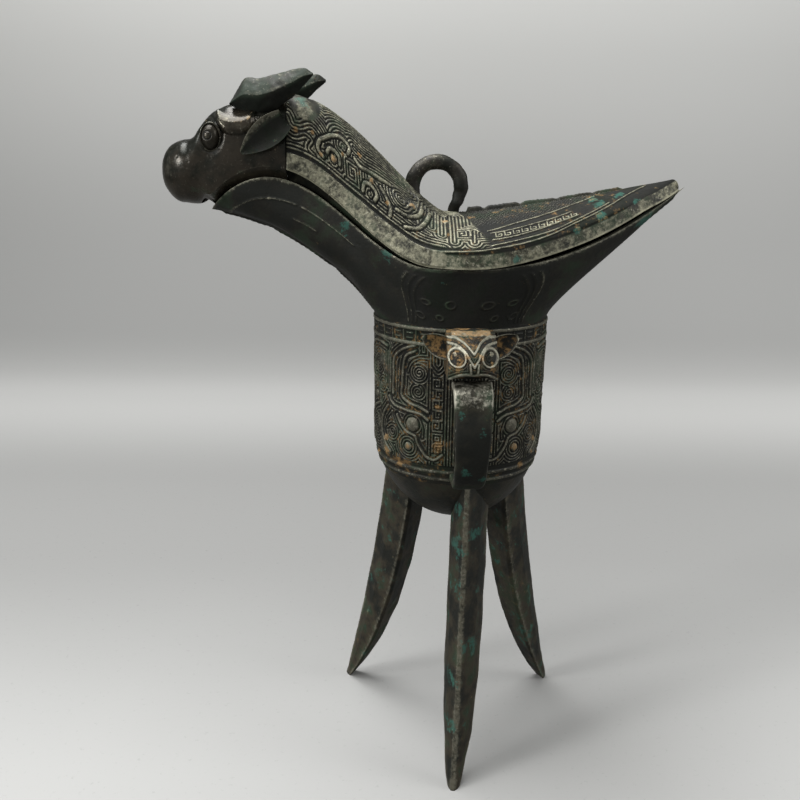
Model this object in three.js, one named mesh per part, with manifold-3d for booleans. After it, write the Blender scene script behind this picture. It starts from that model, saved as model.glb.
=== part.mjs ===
// A cast bronze wine cup on three blade legs, with a long pouring spout, a pointed tail
// and a saddle-shaped lid whose neck ends in a horned beast's head.
// Millimetres, +Z up. The spout points along -X, the tail along +X and the handle along -Y.
import * as THREE from "three";
import { mergeVertices } from "three/addons/utils/BufferGeometryUtils.js";
import Module from "manifold-3d";

const wasm = await Module();
wasm.setup();

// Driving dimensions of the cup, from the floor up
const bowlTopHeight = 121; // start of the round bottom above the floor
const bowlDepth = 34; // from there down to the underside
const straightHeight = 42; // from there up to the shoulder
const flareHeight = 19.3; // from the shoulder up to the rim across the middle
const bodyRadius = 30.6; // outside of the wall at the shoulder
const wallTaper = 0.4; // the wall is this much narrower where the round bottom starts
const wall = 2.2; // casting thickness of cup and lid
const beadProud = 0.55; // the raised border lines stand out this far
const beadHeight = 1.5;
const registerHeight = 6.4; // narrow border register under the shoulder
const lowLineDrop = 12; // lowest border line below the start of the round bottom
const lowRegisterHeight = 2.9; // from the lowest border line up to the next

const bowlRadius = bodyRadius - wallTaper;
const shoulderHeight = bowlTopHeight + straightHeight;

// Driving dimensions of the mouth, shared by the cup's rim and the lid's edge
const mouthHeight = shoulderHeight + flareHeight;
const mouthFlare = 2.4; // the rim across the middle stands out this far over the shoulder
const mouthHalfWidth = bodyRadius + mouthFlare;
const tailReach = 76.2; // from the cup's axis to the tail's point
const tailRise = 25.5; // the tail's point above the mouth
const spoutReach = 87; // from the cup's axis to the spout's lip
const spoutHalfWidth = 13;
const spoutRise = 27.4; // the crest of the spout's edge above the mouth
const spoutRiseStart = 11; // where the edge starts to climb
const spoutCrest = 66; // where it is highest
const lipDrop = 11.2; // from the crest down to the lip
const lipRound = 17; // length over which the lip's plan rounds off
const flareStart = 6; // the flare leaves the shoulder upright over this height
const flareDrop = 9; // and meets the rim upright over this height across the middle
const flankRise = 4; // the spout's flanks are hollowed by this much beside the keel
const flankSpread = 8; // over this width from the keel
const flankBlend = 10; // the hollow starts over this length in front of the wall
const flankFade = 24; // and fades out over this length behind the lip
const keelSlack = 0.03; // share by which the spout's underside stands higher than its curve
const keelProud = 0.8; // thin notched seam along the underside of spout and tail
const keelWidth = 1.4;
const keelRoot = 1.1; // it reaches this far into the wall

// Driving dimensions of the lid
const lidRise = 16.2; // the lid's top across the middle above the mouth
const tailRidgeRise = 12.8; // the ridge at the tail's point above that
const tailTipGap = 2.2; // the lid ends this far short of the tail's point
const tailTipRound = 2.6; // and rounds off over this length
const neckRise = 38.5; // the top of the neck above the middle
const neckStart = 7; // where the ridge starts to climb to the neck
const neckCrest = 63; // where the ridge is level again
const neckEnd = 59.5; // seam between the neck and the beast's head
const fasciaHeight = 5.2; // plain upright band along the lid's edge
const fasciaLean = 0.9;
const lipDepth = 3.6; // the lid's inner lip reaches down into the mouth
const lipThickness = 1.6;
const lipFrom = 19; // it runs this far either way from the axis, fading out over lipFade
const lipFade = 10;
const lipClearance = 1.5; // room round the lip, so that the lid lifts straight off
const seatGap = 0.3; // a cast piece lies this close to what carries it
const mouthGap = 3.2; // the lid's edge stands this much higher over the spout
const mouthGapBack = 8; // it has reached that by this far behind the crest
const tailGap = 1.4; // and this much higher over the tail's flanks
const tailGapRise = 34;
const tailGapFade = 16;
const spineProud = 1.9; // notched ridge along the tail
const spineWidth = 2.6;
const spineFrom = 1; // where it starts behind the axis
const spineShare = 0.72; // share of the tail that it covers

const ridgeHeight = mouthHeight + lidRise;
const lidEnd = tailReach - tailTipGap;

// Driving dimensions of the legs
const footReach = 49.5; // outer edge of a foot from the cup's axis
const footDepth = 2.8; // flat of a foot, along its radius
const footWidth = 4.4;
const legTopWidth = 13.4;
const legTaper = 4.2; // power of the way down by which it narrows
const legTopDrop = 5; // top of a leg below the start of the round bottom
const legSeat = 2; // its outer edge starts this far inside the wall
const legBow = 3; // and bows out to this far outside it
const legEdge = 1.3; // blunt width of a leg's outer edge
// [degrees round the axis, degrees that the leg is turned in its seat]
const legPlaces = { leg_front: [-86, -13.3], leg_rear_left: [150, 0], leg_rear_right: [26, 8] };

// Driving dimensions of the handle
const handleTurn = 2; // degrees round the axis, towards the tail
const strapWidth = 13.1;
const strapFootWidth = 9.6;
const strapThickness = 3.4;
const strapStandoff = 18.4; // middle of the strap from the cup's wall
const strapBend = 10; // the strap turns back to the wall over this length
const strapFootDrop = 9.6; // middle of its foot below the start of the round bottom
const maskDrop = 13.8; // underside of the beast mask below the shoulder
const maskHeight = 14.2;
const maskHalfWidth = 7.8;
const maskStandoff = 17.6;
const maskEyeRadius = 1.8;
const maskEyeSpread = 5.1;
const maskEarStandoff = 5.2;
const maskEarLength = 11;
const maskEarWidth = 7.4;

const strapFootHeight = bowlTopHeight - strapFootDrop;
const maskFloor = shoulderHeight - maskDrop;

// Driving dimensions of the head, horns, ears, eyes and ring
const muzzleLength = 16.7; // the snout's point beyond the spout's lip
const muzzleGap = 2; // the muzzle's floor above the lip
const muzzleHeight = 21.3;
const muzzleHalfWidth = 11.6;
const hornLength = 28.4;
const rightHornExtra = 2; // the right horn is this much longer
const hornHeight = 10.9;
const hornWidth = 8.4;
const hornForward = 15.7; // the horns' blunt ends in front of the neck's crest
const hornRootSpread = 6.4; // half the distance between the horns at their blunt ends
const hornTipSpread = 12.4;
const earWidth = 9.6;
const earRootDrop = 8.7; // an ear's root below the neck's top
const earSeat = 1.4; // and this far inside the neck's side
const earForward = 13.6; // an ear's tip in front of its root
const earDroop = 10.7;
const earSpread = 5.4;
const eyeRadius = 4.1;
const eyeBehindLip = 2.4;
const eyeInset = 2.2; // an eye's middle inside the muzzle's side
const socketInset = 0.85; // the ring round an eye is this much wider and deeper
const browRadius = 6.6;
const browBehindEye = 8.4;
const browInset = 4.6;
const browRise = 3.6;
const ringRadius = 8.4; // to the middle of the ring's bar
const ringBar = 2.55;
const ringSet = 9.4; // the ring stands this far from the axis, towards the neck
const ringRise = 8.4; // its middle above the lid's top across the middle

const aroundCount = 56;
const degree = Math.PI / 180;
const clamp01 = (v) => Math.min(1, Math.max(0, v));
const mix = (a, b, t) => a + (b - a) * t;
const ease = (t) => (1 - Math.cos(Math.PI * clamp01(t))) / 2;
const soft = (t) => clamp01(t) ** 2 * (3 - 2 * clamp01(t));
const power = (v, p) => Math.sign(v) * Math.abs(v) ** p;
const point = (x, y, z) => new THREE.Vector3(x, y, z);

// A closed solid through rings of points. Each end is closed by a fan, or cut to its outline.
function loft(rings, outlineCaps = false) {
  const count = rings[0].length;
  const positions = [];
  const indices = [];
  rings.forEach((ring) => ring.forEach((p) => positions.push(p.x, p.y, p.z)));
  for (let r = 0; r + 1 < rings.length; r += 1) {
    for (let i = 0; i < count; i += 1) {
      const j = (i + 1) % count;
      const a = r * count + i;
      const b = r * count + j;
      const c = (r + 1) * count + j;
      const d = (r + 1) * count + i;
      indices.push(a, b, c, a, c, d);
    }
  }
  const last = (rings.length - 1) * count;
  if (outlineCaps) {
    [rings[0], rings.at(-1)].forEach((ring, end) => {
      const flat = ring.map((p) => new THREE.Vector2(p.y, p.z));
      const flip = THREE.ShapeUtils.isClockWise(flat) === Boolean(end);
      THREE.ShapeUtils.triangulateShape(flat, []).forEach((face) => {
        const order = flip ? [...face].reverse() : face;
        indices.push(...order.map((i) => end * last + i));
      });
    });
  } else {
    [rings[0], rings.at(-1)].forEach((ring, end) => {
      const middle = ring.reduce((sum, p) => sum.add(p), point(0, 0, 0)).divideScalar(count);
      const hub = positions.length / 3;
      positions.push(middle.x, middle.y, middle.z);
      for (let i = 0; i < count; i += 1) {
        const a = end * last + i;
        const b = end * last + ((i + 1) % count);
        indices.push(hub, ...(end ? [a, b] : [b, a]));
      }
    });
  }
  const geometry = new THREE.BufferGeometry();
  geometry.setAttribute("position", new THREE.Float32BufferAttribute(positions, 3));
  geometry.setIndex(indices);
  return geometry;
}

// A geometry as a solid that can be cut and joined, turned the right way out if need be.
function solid(geometry) {
  const bare = geometry.clone();
  bare.deleteAttribute("normal");
  bare.deleteAttribute("uv");
  const merged = mergeVertices(bare, 1e-4);
  const build = (faces) =>
    new wasm.Manifold(
      new wasm.Mesh({
        numProp: 3,
        vertProperties: new Float32Array(merged.attributes.position.array),
        triVerts: new Uint32Array(faces),
      }),
    );
  const faces = Array.from(merged.index.array);
  const made = build(faces);
  if (made.volume() > 0) return made;
  for (let i = 0; i < faces.length; i += 3) [faces[i + 1], faces[i + 2]] = [faces[i + 2], faces[i + 1]];
  return build(faces);
}

function geometryOf(made) {
  const whole = made.decompose().sort((a, b) => b.volume() - a.volume())[0];
  const mesh = whole.getMesh();
  const geometry = new THREE.BufferGeometry();
  geometry.setAttribute("position", new THREE.BufferAttribute(new Float32Array(mesh.vertProperties), 3));
  geometry.setIndex(new THREE.BufferAttribute(new Uint32Array(mesh.triVerts), 1));
  geometry.computeVertexNormals();
  return geometry;
}

// A ring of `count` points, from the place of each angle.
function ringOf(count, place) {
  return Array.from({ length: count }, (_, k) => place((2 * Math.PI * k) / count));
}

// The height of the cup's rim along the object: level in the middle, a parabola up to the
// tail, and a wave up to the spout's crest that drops again towards the lip.
function rimHeight(x) {
  if (x >= 0) return mouthHeight + tailRise * (x / tailReach) ** 2;
  const away = -x;
  if (away <= spoutCrest) {
    return mouthHeight + spoutRise * ease((away - spoutRiseStart) / (spoutCrest - spoutRiseStart));
  }
  const past = (away - spoutCrest) / (spoutReach - spoutCrest);
  return mouthHeight + spoutRise - lipDrop * past ** 2;
}

// Half the width of the mouth's leaf-shaped plan, for an outline set in by `inset`.
function halfWidth(x, inset = 0, endInset = 0) {
  const wide = mouthHalfWidth - inset;
  if (x >= 0) {
    const along = clamp01(x / (tailReach - endInset));
    return wide * Math.cos((Math.PI / 2) * along) ** 1.12;
  }
  const away = Math.min(-x, spoutReach - inset);
  const narrow = spoutHalfWidth - inset;
  const side = mix(wide, narrow, ease(away / (spoutCrest - spoutRiseStart)));
  const round = clamp01((away - (spoutReach - inset - lipRound)) / lipRound);
  return side * Math.sqrt(Math.max(0, 1 - round ** 2.4));
}

// Where the flare line at an angle whose cosine is c meets the rim. The power keeps the lines
// close to square to the rim along the spout's waist.
function rimPlace(c, inset = 0) {
  return c >= 0 ? (tailReach - inset * 3) * c : -(spoutReach - inset) * (-c) ** 1.35;
}

// Draws the spout's flanks up beside the keel, most where they are far below the rim.
function hollowFlank(p) {
  const front = soft((-p.x - bodyRadius) / flankBlend);
  const waist = front * (1 - soft((-p.x - (spoutReach - flankFade - 1)) / flankFade));
  const below = (rimHeight(p.x) - p.z) * (1 - keelSlack * waist);
  const beside = soft((Math.abs(p.y) - 1) / flankSpread);
  const z = rimHeight(p.x) - below + flankRise * beside * waist * clamp01(below / 25);
  return point(p.x, p.y, z);
}

// One flare line of the cup: from the shoulder circle up and out to the rim, as a cubic curve.
function flareLine(angle, inset, steps) {
  const c = Math.cos(angle);
  const s = Math.sin(angle);
  const tipInset = inset * 3;
  const x = rimPlace(c, inset);
  const y = halfWidth(x, inset, tipInset) * Math.sign(s) * (Math.abs(s) < 1e-6 ? 0 : 1);
  const radius = bodyRadius - inset;
  const start = point(radius * c, radius * s, shoulderHeight);
  const end = point(x, y, rimHeight(x));
  const toTail = Math.max(0, c);
  const toSpout = Math.max(0, -c);
  const outward = end.clone().sub(start).setZ(0);
  // How squarely the line meets the rim in plan: 1 at the two points, near 0 along the flanks,
  // where the wall stands upright under the rim instead.
  const slope = (halfWidth(x + 0.5, inset, tipInset) - halfWidth(x - 0.5, inset, tipInset)) * -1;
  const normal = point(slope, Math.max(Math.abs(y), 0.01) * 0.3, 0).normalize();
  const along = point(outward.x, Math.abs(outward.y) * (Math.abs(y) > Math.abs(start.y) ? 1 : -1), 0);
  const square = clamp01(along.normalize().dot(normal));
  const lift = inset * 0.45 * (toTail + toSpout);
  const pull = (0.5 + 0.07 * toTail - 0.02 * toSpout) * square;
  const upright = flareDrop * (1 - 0.56 * toTail - 0.28 * toSpout);
  const sag = mix(upright, outward.length() * (0.5 * toTail + 0.05 * toSpout), square);
  const low = start.clone().add(point(0, 0, flareStart - toTail - toSpout + lift));
  const high = end.clone().addScaledVector(outward, -pull).add(point(0, 0, lift - sag));
  return new THREE.CubicBezierCurve3(start, low, high, end).getPoints(steps).map(hollowFlank);
}

// The wall's outside radius: a rounded bottom, then nearly straight up to the shoulder.
function wallRadius(z, inset = 0) {
  if (z < bowlTopHeight) {
    const down = clamp01((bowlTopHeight - z) / (bowlDepth - inset));
    return (bowlRadius - inset) * Math.sqrt(1 - down ** 2);
  }
  return mix(bowlRadius, bodyRadius, ((z - bowlTopHeight) / straightHeight) ** 2) - inset;
}

// The undersides of the raised border lines.
const borderLines = [
  bowlTopHeight - lowLineDrop,
  bowlTopHeight - lowLineDrop + lowRegisterHeight,
  shoulderHeight - beadHeight - registerHeight,
  shoulderHeight - beadHeight,
];

// Rings of the cup's wall from the middle of its bottom up to the rim.
function cupRings(inset, plain = false) {
  const circle = (z, proud = 0) => {
    const radius = wallRadius(z, inset) + proud;
    return ringOf(aroundCount, (a) => point(radius * Math.cos(a), radius * Math.sin(a), z));
  };
  // A border line is four rings: out, along and back in.
  const bead = (z) => [0, 0.3, 0.7, 1].map((t, k) => circle(z + beadHeight * t, k % 3 ? beadProud : 0));
  const bowl = [0.06, 0.18, 0.31, 0.45, 0.59, 0.72].map((t) =>
    circle(bowlTopHeight - (bowlDepth - inset) * Math.cos((Math.PI / 2) * t)),
  );
  const straight = [-bowlDepth * 0.2, 0, straightHeight * 0.45].map((rise) => circle(bowlTopHeight + rise));
  const low = borderLines.slice(0, 2).flatMap(bead);
  const high = borderLines.slice(2).flatMap(bead).slice(0, -1);
  const wallRings = plain ? [...bowl, ...straight] : [...bowl, ...low, ...straight, ...high];
  const steps = plain ? 6 : 8;
  const lines = ringOf(aroundCount, (angle) => flareLine(angle, inset, steps));
  const flare = Array.from({ length: steps + 1 }, (_, k) => lines.map((line) => line[k]));
  return [...wallRings, ...flare];
}

// The thin seam along the underside of the spout or the tail, broken by two notches.
function keel(angle) {
  const steps = 22;
  const notches = [8, 14];
  const line = flareLine(angle, 0, steps).slice(0, -1);
  const rings = line.slice(1, -1).map((p, k) => {
    const along = line[k + 2].clone().sub(line[k]).normalize();
    const out = point(along.z * Math.cos(angle), 0, -Math.abs(along.x));
    const proud = notches.includes(k) ? 0 : keelProud;
    return [[-keelRoot, -1], [proud, -1], [proud, 1], [-keelRoot, 1]].map(([reach, side]) =>
      p.clone().addScaledVector(out, reach).add(point(0, (side * keelWidth) / 2, 0)),
    );
  });
  return solid(loft(rings));
}

function cupBody() {
  const outside = cupRings(0);
  const inside = cupRings(wall, true).reverse();
  const rim = outside.at(-1).map((p, i) => {
    const x = (p.x + inside[0][i].x) / 2;
    return point(x, (p.y + inside[0][i].y) / 2, rimHeight(x));
  });
  return solid(loft([...outside, rim, ...inside])).add(keel(0)).add(keel(Math.PI));
}

// What the body fills, grown a little: attached pieces are cut back to it.
function bodySeat() {
  return solid(loft(cupRings(-seatGap - beadProud, true).slice(0, -3)));
}

// The height of the lid's lower edge: on the rim across the middle and at the tail's point,
// a little above it along the tail, and lifted over the spout as a mouth.
function lidEdge(x) {
  const spout = mouthGap * ease(-x / (spoutCrest - mouthGapBack));
  const tail = tailGap * ease(x / tailGapRise) * (1 - ease((x - (lidEnd - tailGapFade)) / tailGapFade));
  return rimHeight(x) + seatGap + (x < 0 ? spout : tail);
}

// The height of the lid's ridge line.
function lidRidge(x) {
  if (x >= 0) return ridgeHeight + tailRidgeRise * (x / tailReach) ** 1.25;
  const along = clamp01((-x - neckStart) / (neckCrest - neckStart));
  return ridgeHeight + neckRise * Math.sin((Math.PI / 2) * along) ** 1.3;
}

// 1 along the lid, and a quarter circle down to nearly 0 at its tail end.
function tipRounding(x) {
  return Math.sqrt(1 - clamp01((x - lidEnd + tailTipRound) / (tailTipRound + 0.05)) ** 2);
}

// Half of an arch over the lid at x, from its foot to its ridge, as [y, z] pairs.
function archHalf(x, wide, foot, top, steps) {
  const fullness = mix(1.45, 2.2, ease((-x - 8) / 34));
  return Array.from({ length: steps + 1 }, (_, k) => {
    const t = ((Math.PI / 2) * k) / steps;
    const y = k === steps ? 0 : wide * Math.cos(t) ** (2 / fullness);
    return [y, foot + (top - foot) * Math.sin(t) ** (2 / fullness)];
  });
}

function outerArch(x) {
  const top = mix(lidEdge(x) + 1, lidRidge(x), tipRounding(x));
  const fascia = Math.min(fasciaHeight, (top - lidEdge(x)) * 0.45);
  const wide = Math.max(halfWidth(x) * tipRounding(x) - fasciaLean, 0.4);
  return archHalf(x, wide, lidEdge(x) + fascia, top, 7);
}

// One cross-section of the lid: over the outside, and back along the inside and its lip.
function lidSection(x) {
  const half = Math.max(halfWidth(x) * tipRounding(x), 0.6);
  const edge = lidEdge(x);
  const outer = outerArch(x);
  const lipReach = clamp01((lipFrom - x) / lipFade) * clamp01((x + lipFrom) / lipFade);
  const drop = Math.max(0.1, lipDepth * lipReach);
  const lipOut = Math.max(half - wall - mix(0.6, lipClearance, lipReach), half * 0.5);
  const lipIn = Math.max(lipOut - Math.max(lipThickness * lipReach, 0.2), half * 0.36);
  const foot = mix(edge, outer[0][1], 0.6);
  const inner = archHalf(x, lipIn, foot, Math.max(outer.at(-1)[1] - wall, foot + 0.2), 6);
  const side = (sign) => [[sign * half, edge], ...outer.slice(0, -1).map(([y, z]) => [sign * y, z])];
  const under = (sign) => [
    [sign * lipOut, edge],
    [sign * lipOut, edge - drop],
    [sign * lipIn, edge - drop],
    ...inner.slice(0, -1).map(([y, z]) => [sign * y, z]),
  ];
  const outline = [
    ...side(-1),
    [0, outer.at(-1)[1]],
    ...side(1).reverse(),
    ...under(1),
    [0, inner.at(-1)[1]],
    ...under(-1).reverse(),
  ];
  return outline.map(([y, z]) => point(x, y, z));
}

// The lid's sections stand where the rim has its points, so that the two edges match.
const lidStations = [
  lidEnd,
  lidEnd - tailTipRound * 0.3,
  lidEnd - tailTipRound,
  ...ringOf(aroundCount, (angle) => rimPlace(Math.cos(angle)))
    .slice(1, aroundCount / 2)
    .filter((x) => x > -neckEnd + 2 && x < lidEnd - tailTipRound - 1),
  -neckEnd,
];

// The lid's outside as a full block, grown a little: what stands on the lid is cut back to it.
function lidSeat() {
  const rings = lidStations.map((x) => {
    const half = halfWidth(x) * tipRounding(x) + seatGap;
    const arch = outerArch(x).map(([y, z]) => [y + seatGap, z + seatGap]);
    const left = arch.slice(0, -1).map(([y, z]) => [-y, z]);
    const right = arch.slice(0, -1).reverse();
    const outline = [[-half, lidEdge(x)], ...left, [0, arch.at(-1)[1]], ...right, [half, lidEdge(x)]];
    return outline.map(([y, z]) => point(x, y, z));
  });
  return solid(loft(rings, true));
}

// The notched ridge that runs along the tail, on top of the lid.
function tailSpine() {
  const steps = 26;
  const notchEvery = 6;
  const rings = Array.from({ length: steps + 1 }, (_, k) => {
    const x = mix(spineFrom, tailReach * spineShare, k / steps);
    const notch = k % notchEvery === 3 ? 0.55 : 1;
    const fade = 1 - 0.55 * (k / steps);
    const top = lidRidge(x) + spineProud * notch * fade;
    const low = lidRidge(x) - spineProud;
    const half = (spineWidth / 2) * fade;
    const section = [[-1.2, low], [-0.8, top], [0.8, top], [1.2, low]];
    return section.map(([share, z]) => point(x, share * half, z));
  });
  return solid(loft(rings)).subtract(lidSeat());
}

// A leg: a three-sided blade between a curved outer edge and a curved inner face, which
// narrows most towards the foot.
function legBlade() {
  const topHeight = bowlTopHeight - legTopDrop;
  const outer = new THREE.QuadraticBezierCurve(
    new THREE.Vector2(bowlRadius - legSeat, topHeight),
    new THREE.Vector2(bowlRadius + legBow, topHeight * 0.54),
    new THREE.Vector2(footReach, 0),
  );
  const inner = new THREE.QuadraticBezierCurve(
    new THREE.Vector2(bowlRadius * 0.48, bowlTopHeight - bowlDepth * 0.6),
    new THREE.Vector2(bowlRadius * 0.69, (bowlTopHeight - bowlDepth) * 0.4),
    new THREE.Vector2(footReach - footDepth, 0),
  );
  const steps = 18;
  const rings = Array.from({ length: steps + 1 }, (_, k) => {
    const t = k / steps;
    const o = outer.getPoint(t);
    const i = inner.getPoint(t);
    const half = mix(legTopWidth, footWidth, t ** legTaper) / 2;
    const edge = Math.min(legEdge, half) / 2;
    // [share of the way from the inner to the outer edge, half the width there]
    const side = [[1, edge], [0.55, half * 0.72], [0.06, half], [0, half * 0.8]];
    const at = ([share, y], sign) => point(mix(i.x, o.x, share), sign * y, mix(i.y, o.y, share));
    return [...side.map((p) => at(p, 1)), ...side.reverse().map((p) => at(p, -1))];
  });
  return solid(loft(rings));
}

function leg([azimuth, twist]) {
  const seated = legBlade().translate([-bowlRadius, 0, 0]).rotate([0, 0, twist]);
  return seated.translate([bowlRadius, 0, 0]).rotate([0, 0, azimuth]).subtract(bodySeat());
}

// A solid turned with the handle round the cup's axis.
const handleSide = (made) => made.rotate([0, 0, handleTurn]);

// The handle's strap: a band that leaves the mask's mouth, drops and turns back to the wall.
function handleStrap() {
  const out = bodyRadius + strapStandoff;
  const top = maskFloor - seatGap - strapThickness / 2;
  const path = new THREE.CatmullRomCurve3([
    point(0, -(out - strapBend * 0.75), top),
    point(0, -(out - strapBend * 0.24), top - strapBend * 0.14),
    point(0, -out, top - strapBend * 0.9),
    point(0, -out, mix(top, strapFootHeight, 0.62)),
    point(0, -(out - strapBend * 0.3), strapFootHeight + strapBend * 0.65),
    point(0, -(out - strapBend), strapFootHeight + strapBend * 0.1),
    point(0, -(bodyRadius - wall * 2), strapFootHeight),
  ]);
  const steps = 20;
  const rings = Array.from({ length: steps + 1 }, (_, k) => {
    const t = k / steps;
    const centre = path.getPointAt(t);
    const along = path.getTangentAt(t);
    const across = point(0, -along.z, along.y).normalize();
    const half = mix(strapWidth, strapFootWidth, t ** 0.7) / 2;
    const thick = strapThickness / 2;
    const flat = half - strapThickness * 0.26;
    // Half of the strap's section, with a rounded edge, as [x, out].
    const side = [[-half, -thick * 0.55], [-flat, -thick], [flat, -thick], [half, -thick * 0.55]];
    const section = [...side, ...side.map(([x, n]) => [-x, -n])];
    return section.map(([x, n]) => centre.clone().add(point(x, 0, 0)).addScaledVector(across, n));
  });
  return handleSide(solid(loft(rings))).subtract(bodySeat());
}

// The beast mask over the handle: a sloping brow that swells into a muzzle with an arched mouth.
function handleMask() {
  const back = bodyRadius - wall - 1;
  const steps = 10;
  const rings = Array.from({ length: steps + 1 }, (_, k) => {
    const u = mix(-1, 1, k / steps);
    const swell = Math.sqrt(1 - 0.62 * u * u);
    const reach = bodyRadius + maskStandoff * mix(0.55, 1, swell);
    const floor = maskFloor + maskHeight * 0.15 * (1 - u * u);
    const crown = maskFloor + maskHeight * mix(0.9, 1, swell);
    const inward = (share) => reach - maskStandoff * share;
    const outline = [
      [back, maskFloor], [inward(0.4), maskFloor], [inward(0.12), floor],
      [reach, mix(floor, crown, 0.11)], [inward(0.03), mix(floor, crown, 0.34)],
      [inward(0.19), mix(floor, crown, 0.62)],
      [bodyRadius + maskStandoff * 0.24, mix(floor, crown, 0.94)], [bodyRadius + maskStandoff * 0.09, crown],
      [back, crown],
    ];
    return outline.map(([out, z]) => point(u * maskHalfWidth, -out, z));
  });
  let made = handleSide(solid(loft(rings))).subtract(bodySeat());
  [-1, 1].forEach((sign) => {
    made = made.subtract(maskEye(sign, seatGap)).subtract(maskEar(sign, seatGap));
  });
  return made;
}

function ball(radius, x, y, z, grow = 0, scale = [1, 1, 1]) {
  const geometry = new THREE.SphereGeometry(radius, 14, 9);
  geometry.scale(scale[0] + grow / radius, scale[1] + grow / radius, scale[2] + grow / radius);
  geometry.translate(x, y, z);
  return solid(geometry);
}

function maskEye(sign, grow = 0) {
  const out = bodyRadius + maskStandoff * 0.66;
  return handleSide(ball(maskEyeRadius, sign * maskEyeSpread, -out, maskFloor + maskHeight * 0.53, grow));
}

// A leaf-shaped ear between a root and a tip, hollowed on the side that `face` points to.
function leafEar(root, tip, face, width, grow = 0) {
  const length = tip.distanceTo(root);
  const along = tip.clone().sub(root).normalize();
  const across = new THREE.Vector3().crossVectors(face, along).normalize();
  const normal = new THREE.Vector3().crossVectors(along, across).normalize();
  const steps = 9;
  const rings = Array.from({ length: steps + 1 }, (_, k) => {
    const t = k / steps;
    const half = (width / 2) * Math.sin(Math.PI * mix(0.22, 0.97, t)) ** 0.8;
    const thick = mix(1.5, 0.7, t);
    const curl = 0.26 * half;
    const centre = root.clone().addScaledVector(along, length * t + (t - 0.5) * 2 * grow);
    const at = (side, depth) => {
      const a = side * half + Math.sign(side) * 1.5 * grow;
      const n = depth + (depth > -thick ? 1.5 : -1.5) * grow;
      return centre.clone().addScaledVector(across, a).addScaledVector(normal, n);
    };
    return [
      at(-1, curl), at(-0.5, -thick * 0.3), at(0, 0.2 - thick * 0.5 - curl * 0.2), at(0.5, -thick * 0.3),
      at(1, curl), at(0.6, -thick * 1.1), at(0, -thick * 1.5), at(-0.6, -thick * 1.1),
    ];
  });
  return solid(loft(rings));
}

function maskEar(sign, grow = 0) {
  const out = bodyRadius + maskEarStandoff;
  const rise = maskHeight * 0.34;
  const root = point(sign * (maskHalfWidth - wall), -out - 0.8, maskFloor + maskHeight * 0.52);
  const reach = Math.sqrt(maskEarLength ** 2 - rise ** 2);
  const tip = root.clone().add(point(sign * reach, wall, rise));
  return handleSide(leafEar(root, tip, point(0, -1, 0), maskEarWidth, grow));
}

const headTop = ridgeHeight + neckRise;
const snoutReach = spoutReach + muzzleLength;
const muzzleFloor = mouthHeight + spoutRise - lipDrop + muzzleGap;
const muzzleBack = spoutReach + wall / 2;

// The skull behind the muzzle, an arch that is open below:
// [share of the way from the seam to the muzzle, drop below the neck's top, share of the width]
const skullArches = [[0, 0.2, 1], [0.22, 1.1, 1], [0.43, 2.4, 1.01], [0.69, 4.2, 1], [0.87, 6.4, 0.97]];
// The closed muzzle:
// [share of the way to the snout's point, drop below the neck's top, height above its floor]
const muzzleRings = [
  [0, 9.6, 1.1], [0.17, 13.4, 0], [0.36, 15.2, 0], [0.64, 16.2, 0.7],
  [0.82, 18.4, 3.2], [0.94, 21.4, 6.2], [0.995, 24.2, 9],
];

// The head's rings along -X, set in by `inset` for its hollow.
function headRings(inset) {
  const count = 24;
  const section = (x, top, bottom, half, fullness) => {
    const middle = x > -muzzleBack + 1 ? bottom : (bottom + top) / 2;
    return ringOf(count, (a) => {
      const reach = Math.sin(a) > 0 ? top - middle : middle - bottom;
      const y = half * power(Math.cos(a), 2 / fullness);
      return point(x, y, middle + reach * power(Math.sin(a), 2 / fullness));
    });
  };
  const back = -neckEnd - seatGap;
  const neckHalf = spoutHalfWidth - fasciaLean / 2;
  const arches = skullArches.map(([share, drop, widen]) => {
    const x = mix(back, -muzzleBack, share);
    const bottom = lidEdge(x) - (inset ? muzzleGap : 0);
    const through = inset && !share ? wall : 0;
    return section(x + through, headTop - drop - inset, bottom, neckHalf * widen - inset, 2.3);
  });
  const muzzle = muzzleRings.map(([t, drop, rise]) => {
    const half = muzzleHalfWidth * Math.sqrt(1 - t ** 2.3);
    const x = mix(-muzzleBack, -snoutReach, t);
    return section(x, headTop - drop - inset, muzzleFloor + rise + inset, half - inset, 2.15);
  });
  return [...arches, ...(inset ? muzzle.slice(0, 5) : muzzle)];
}

// A horn: a blunt front that swells, then a long back-swept point.
// [share of the length, underside and top as shares of the height above the neck's top, share of the width]
const hornSections = [
  [0.01, -0.4, -0.33, 0.3], [0.08, -0.47, -0.04, 0.55], [0.2, -0.6, 0.36, 0.9], [0.37, -0.66, 0.37, 1],
  [0.56, -0.5, 0.46, 0.95], [0.76, -0.17, 0.6, 0.72], [0.92, 0.22, 0.63, 0.4], [1, 0.42, 0.5, 0.14],
];
function horn(sign, grow = 0) {
  const length = hornLength + (sign > 0 ? rightHornExtra : 0);
  const rings = hornSections.map(([t, low, high, wide]) => {
    const x = -neckCrest - hornForward + length * t + (t - 0.5) * 2 * grow;
    const y = sign * mix(hornRootSpread, hornTipSpread, t);
    const middle = headTop + (hornHeight * (low + high)) / 2;
    const half = (hornHeight * (high - low)) / 2 + grow;
    const side = (hornWidth * wide) / 2 + grow;
    const diamond = (v) => power(v, 1.2);
    return ringOf(12, (a) => point(x, y + side * diamond(Math.cos(a)), middle + half * diamond(Math.sin(a))));
  });
  return solid(loft(rings));
}

function headEar(sign, grow = 0) {
  const root = point(-neckEnd - seatGap, sign * (spoutHalfWidth - earSeat), headTop - earRootDrop);
  const tip = root.clone().add(point(-earForward, sign * earSpread, -earDroop));
  return leafEar(root, tip, point(-0.35, sign, -0.35), earWidth, grow);
}

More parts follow.
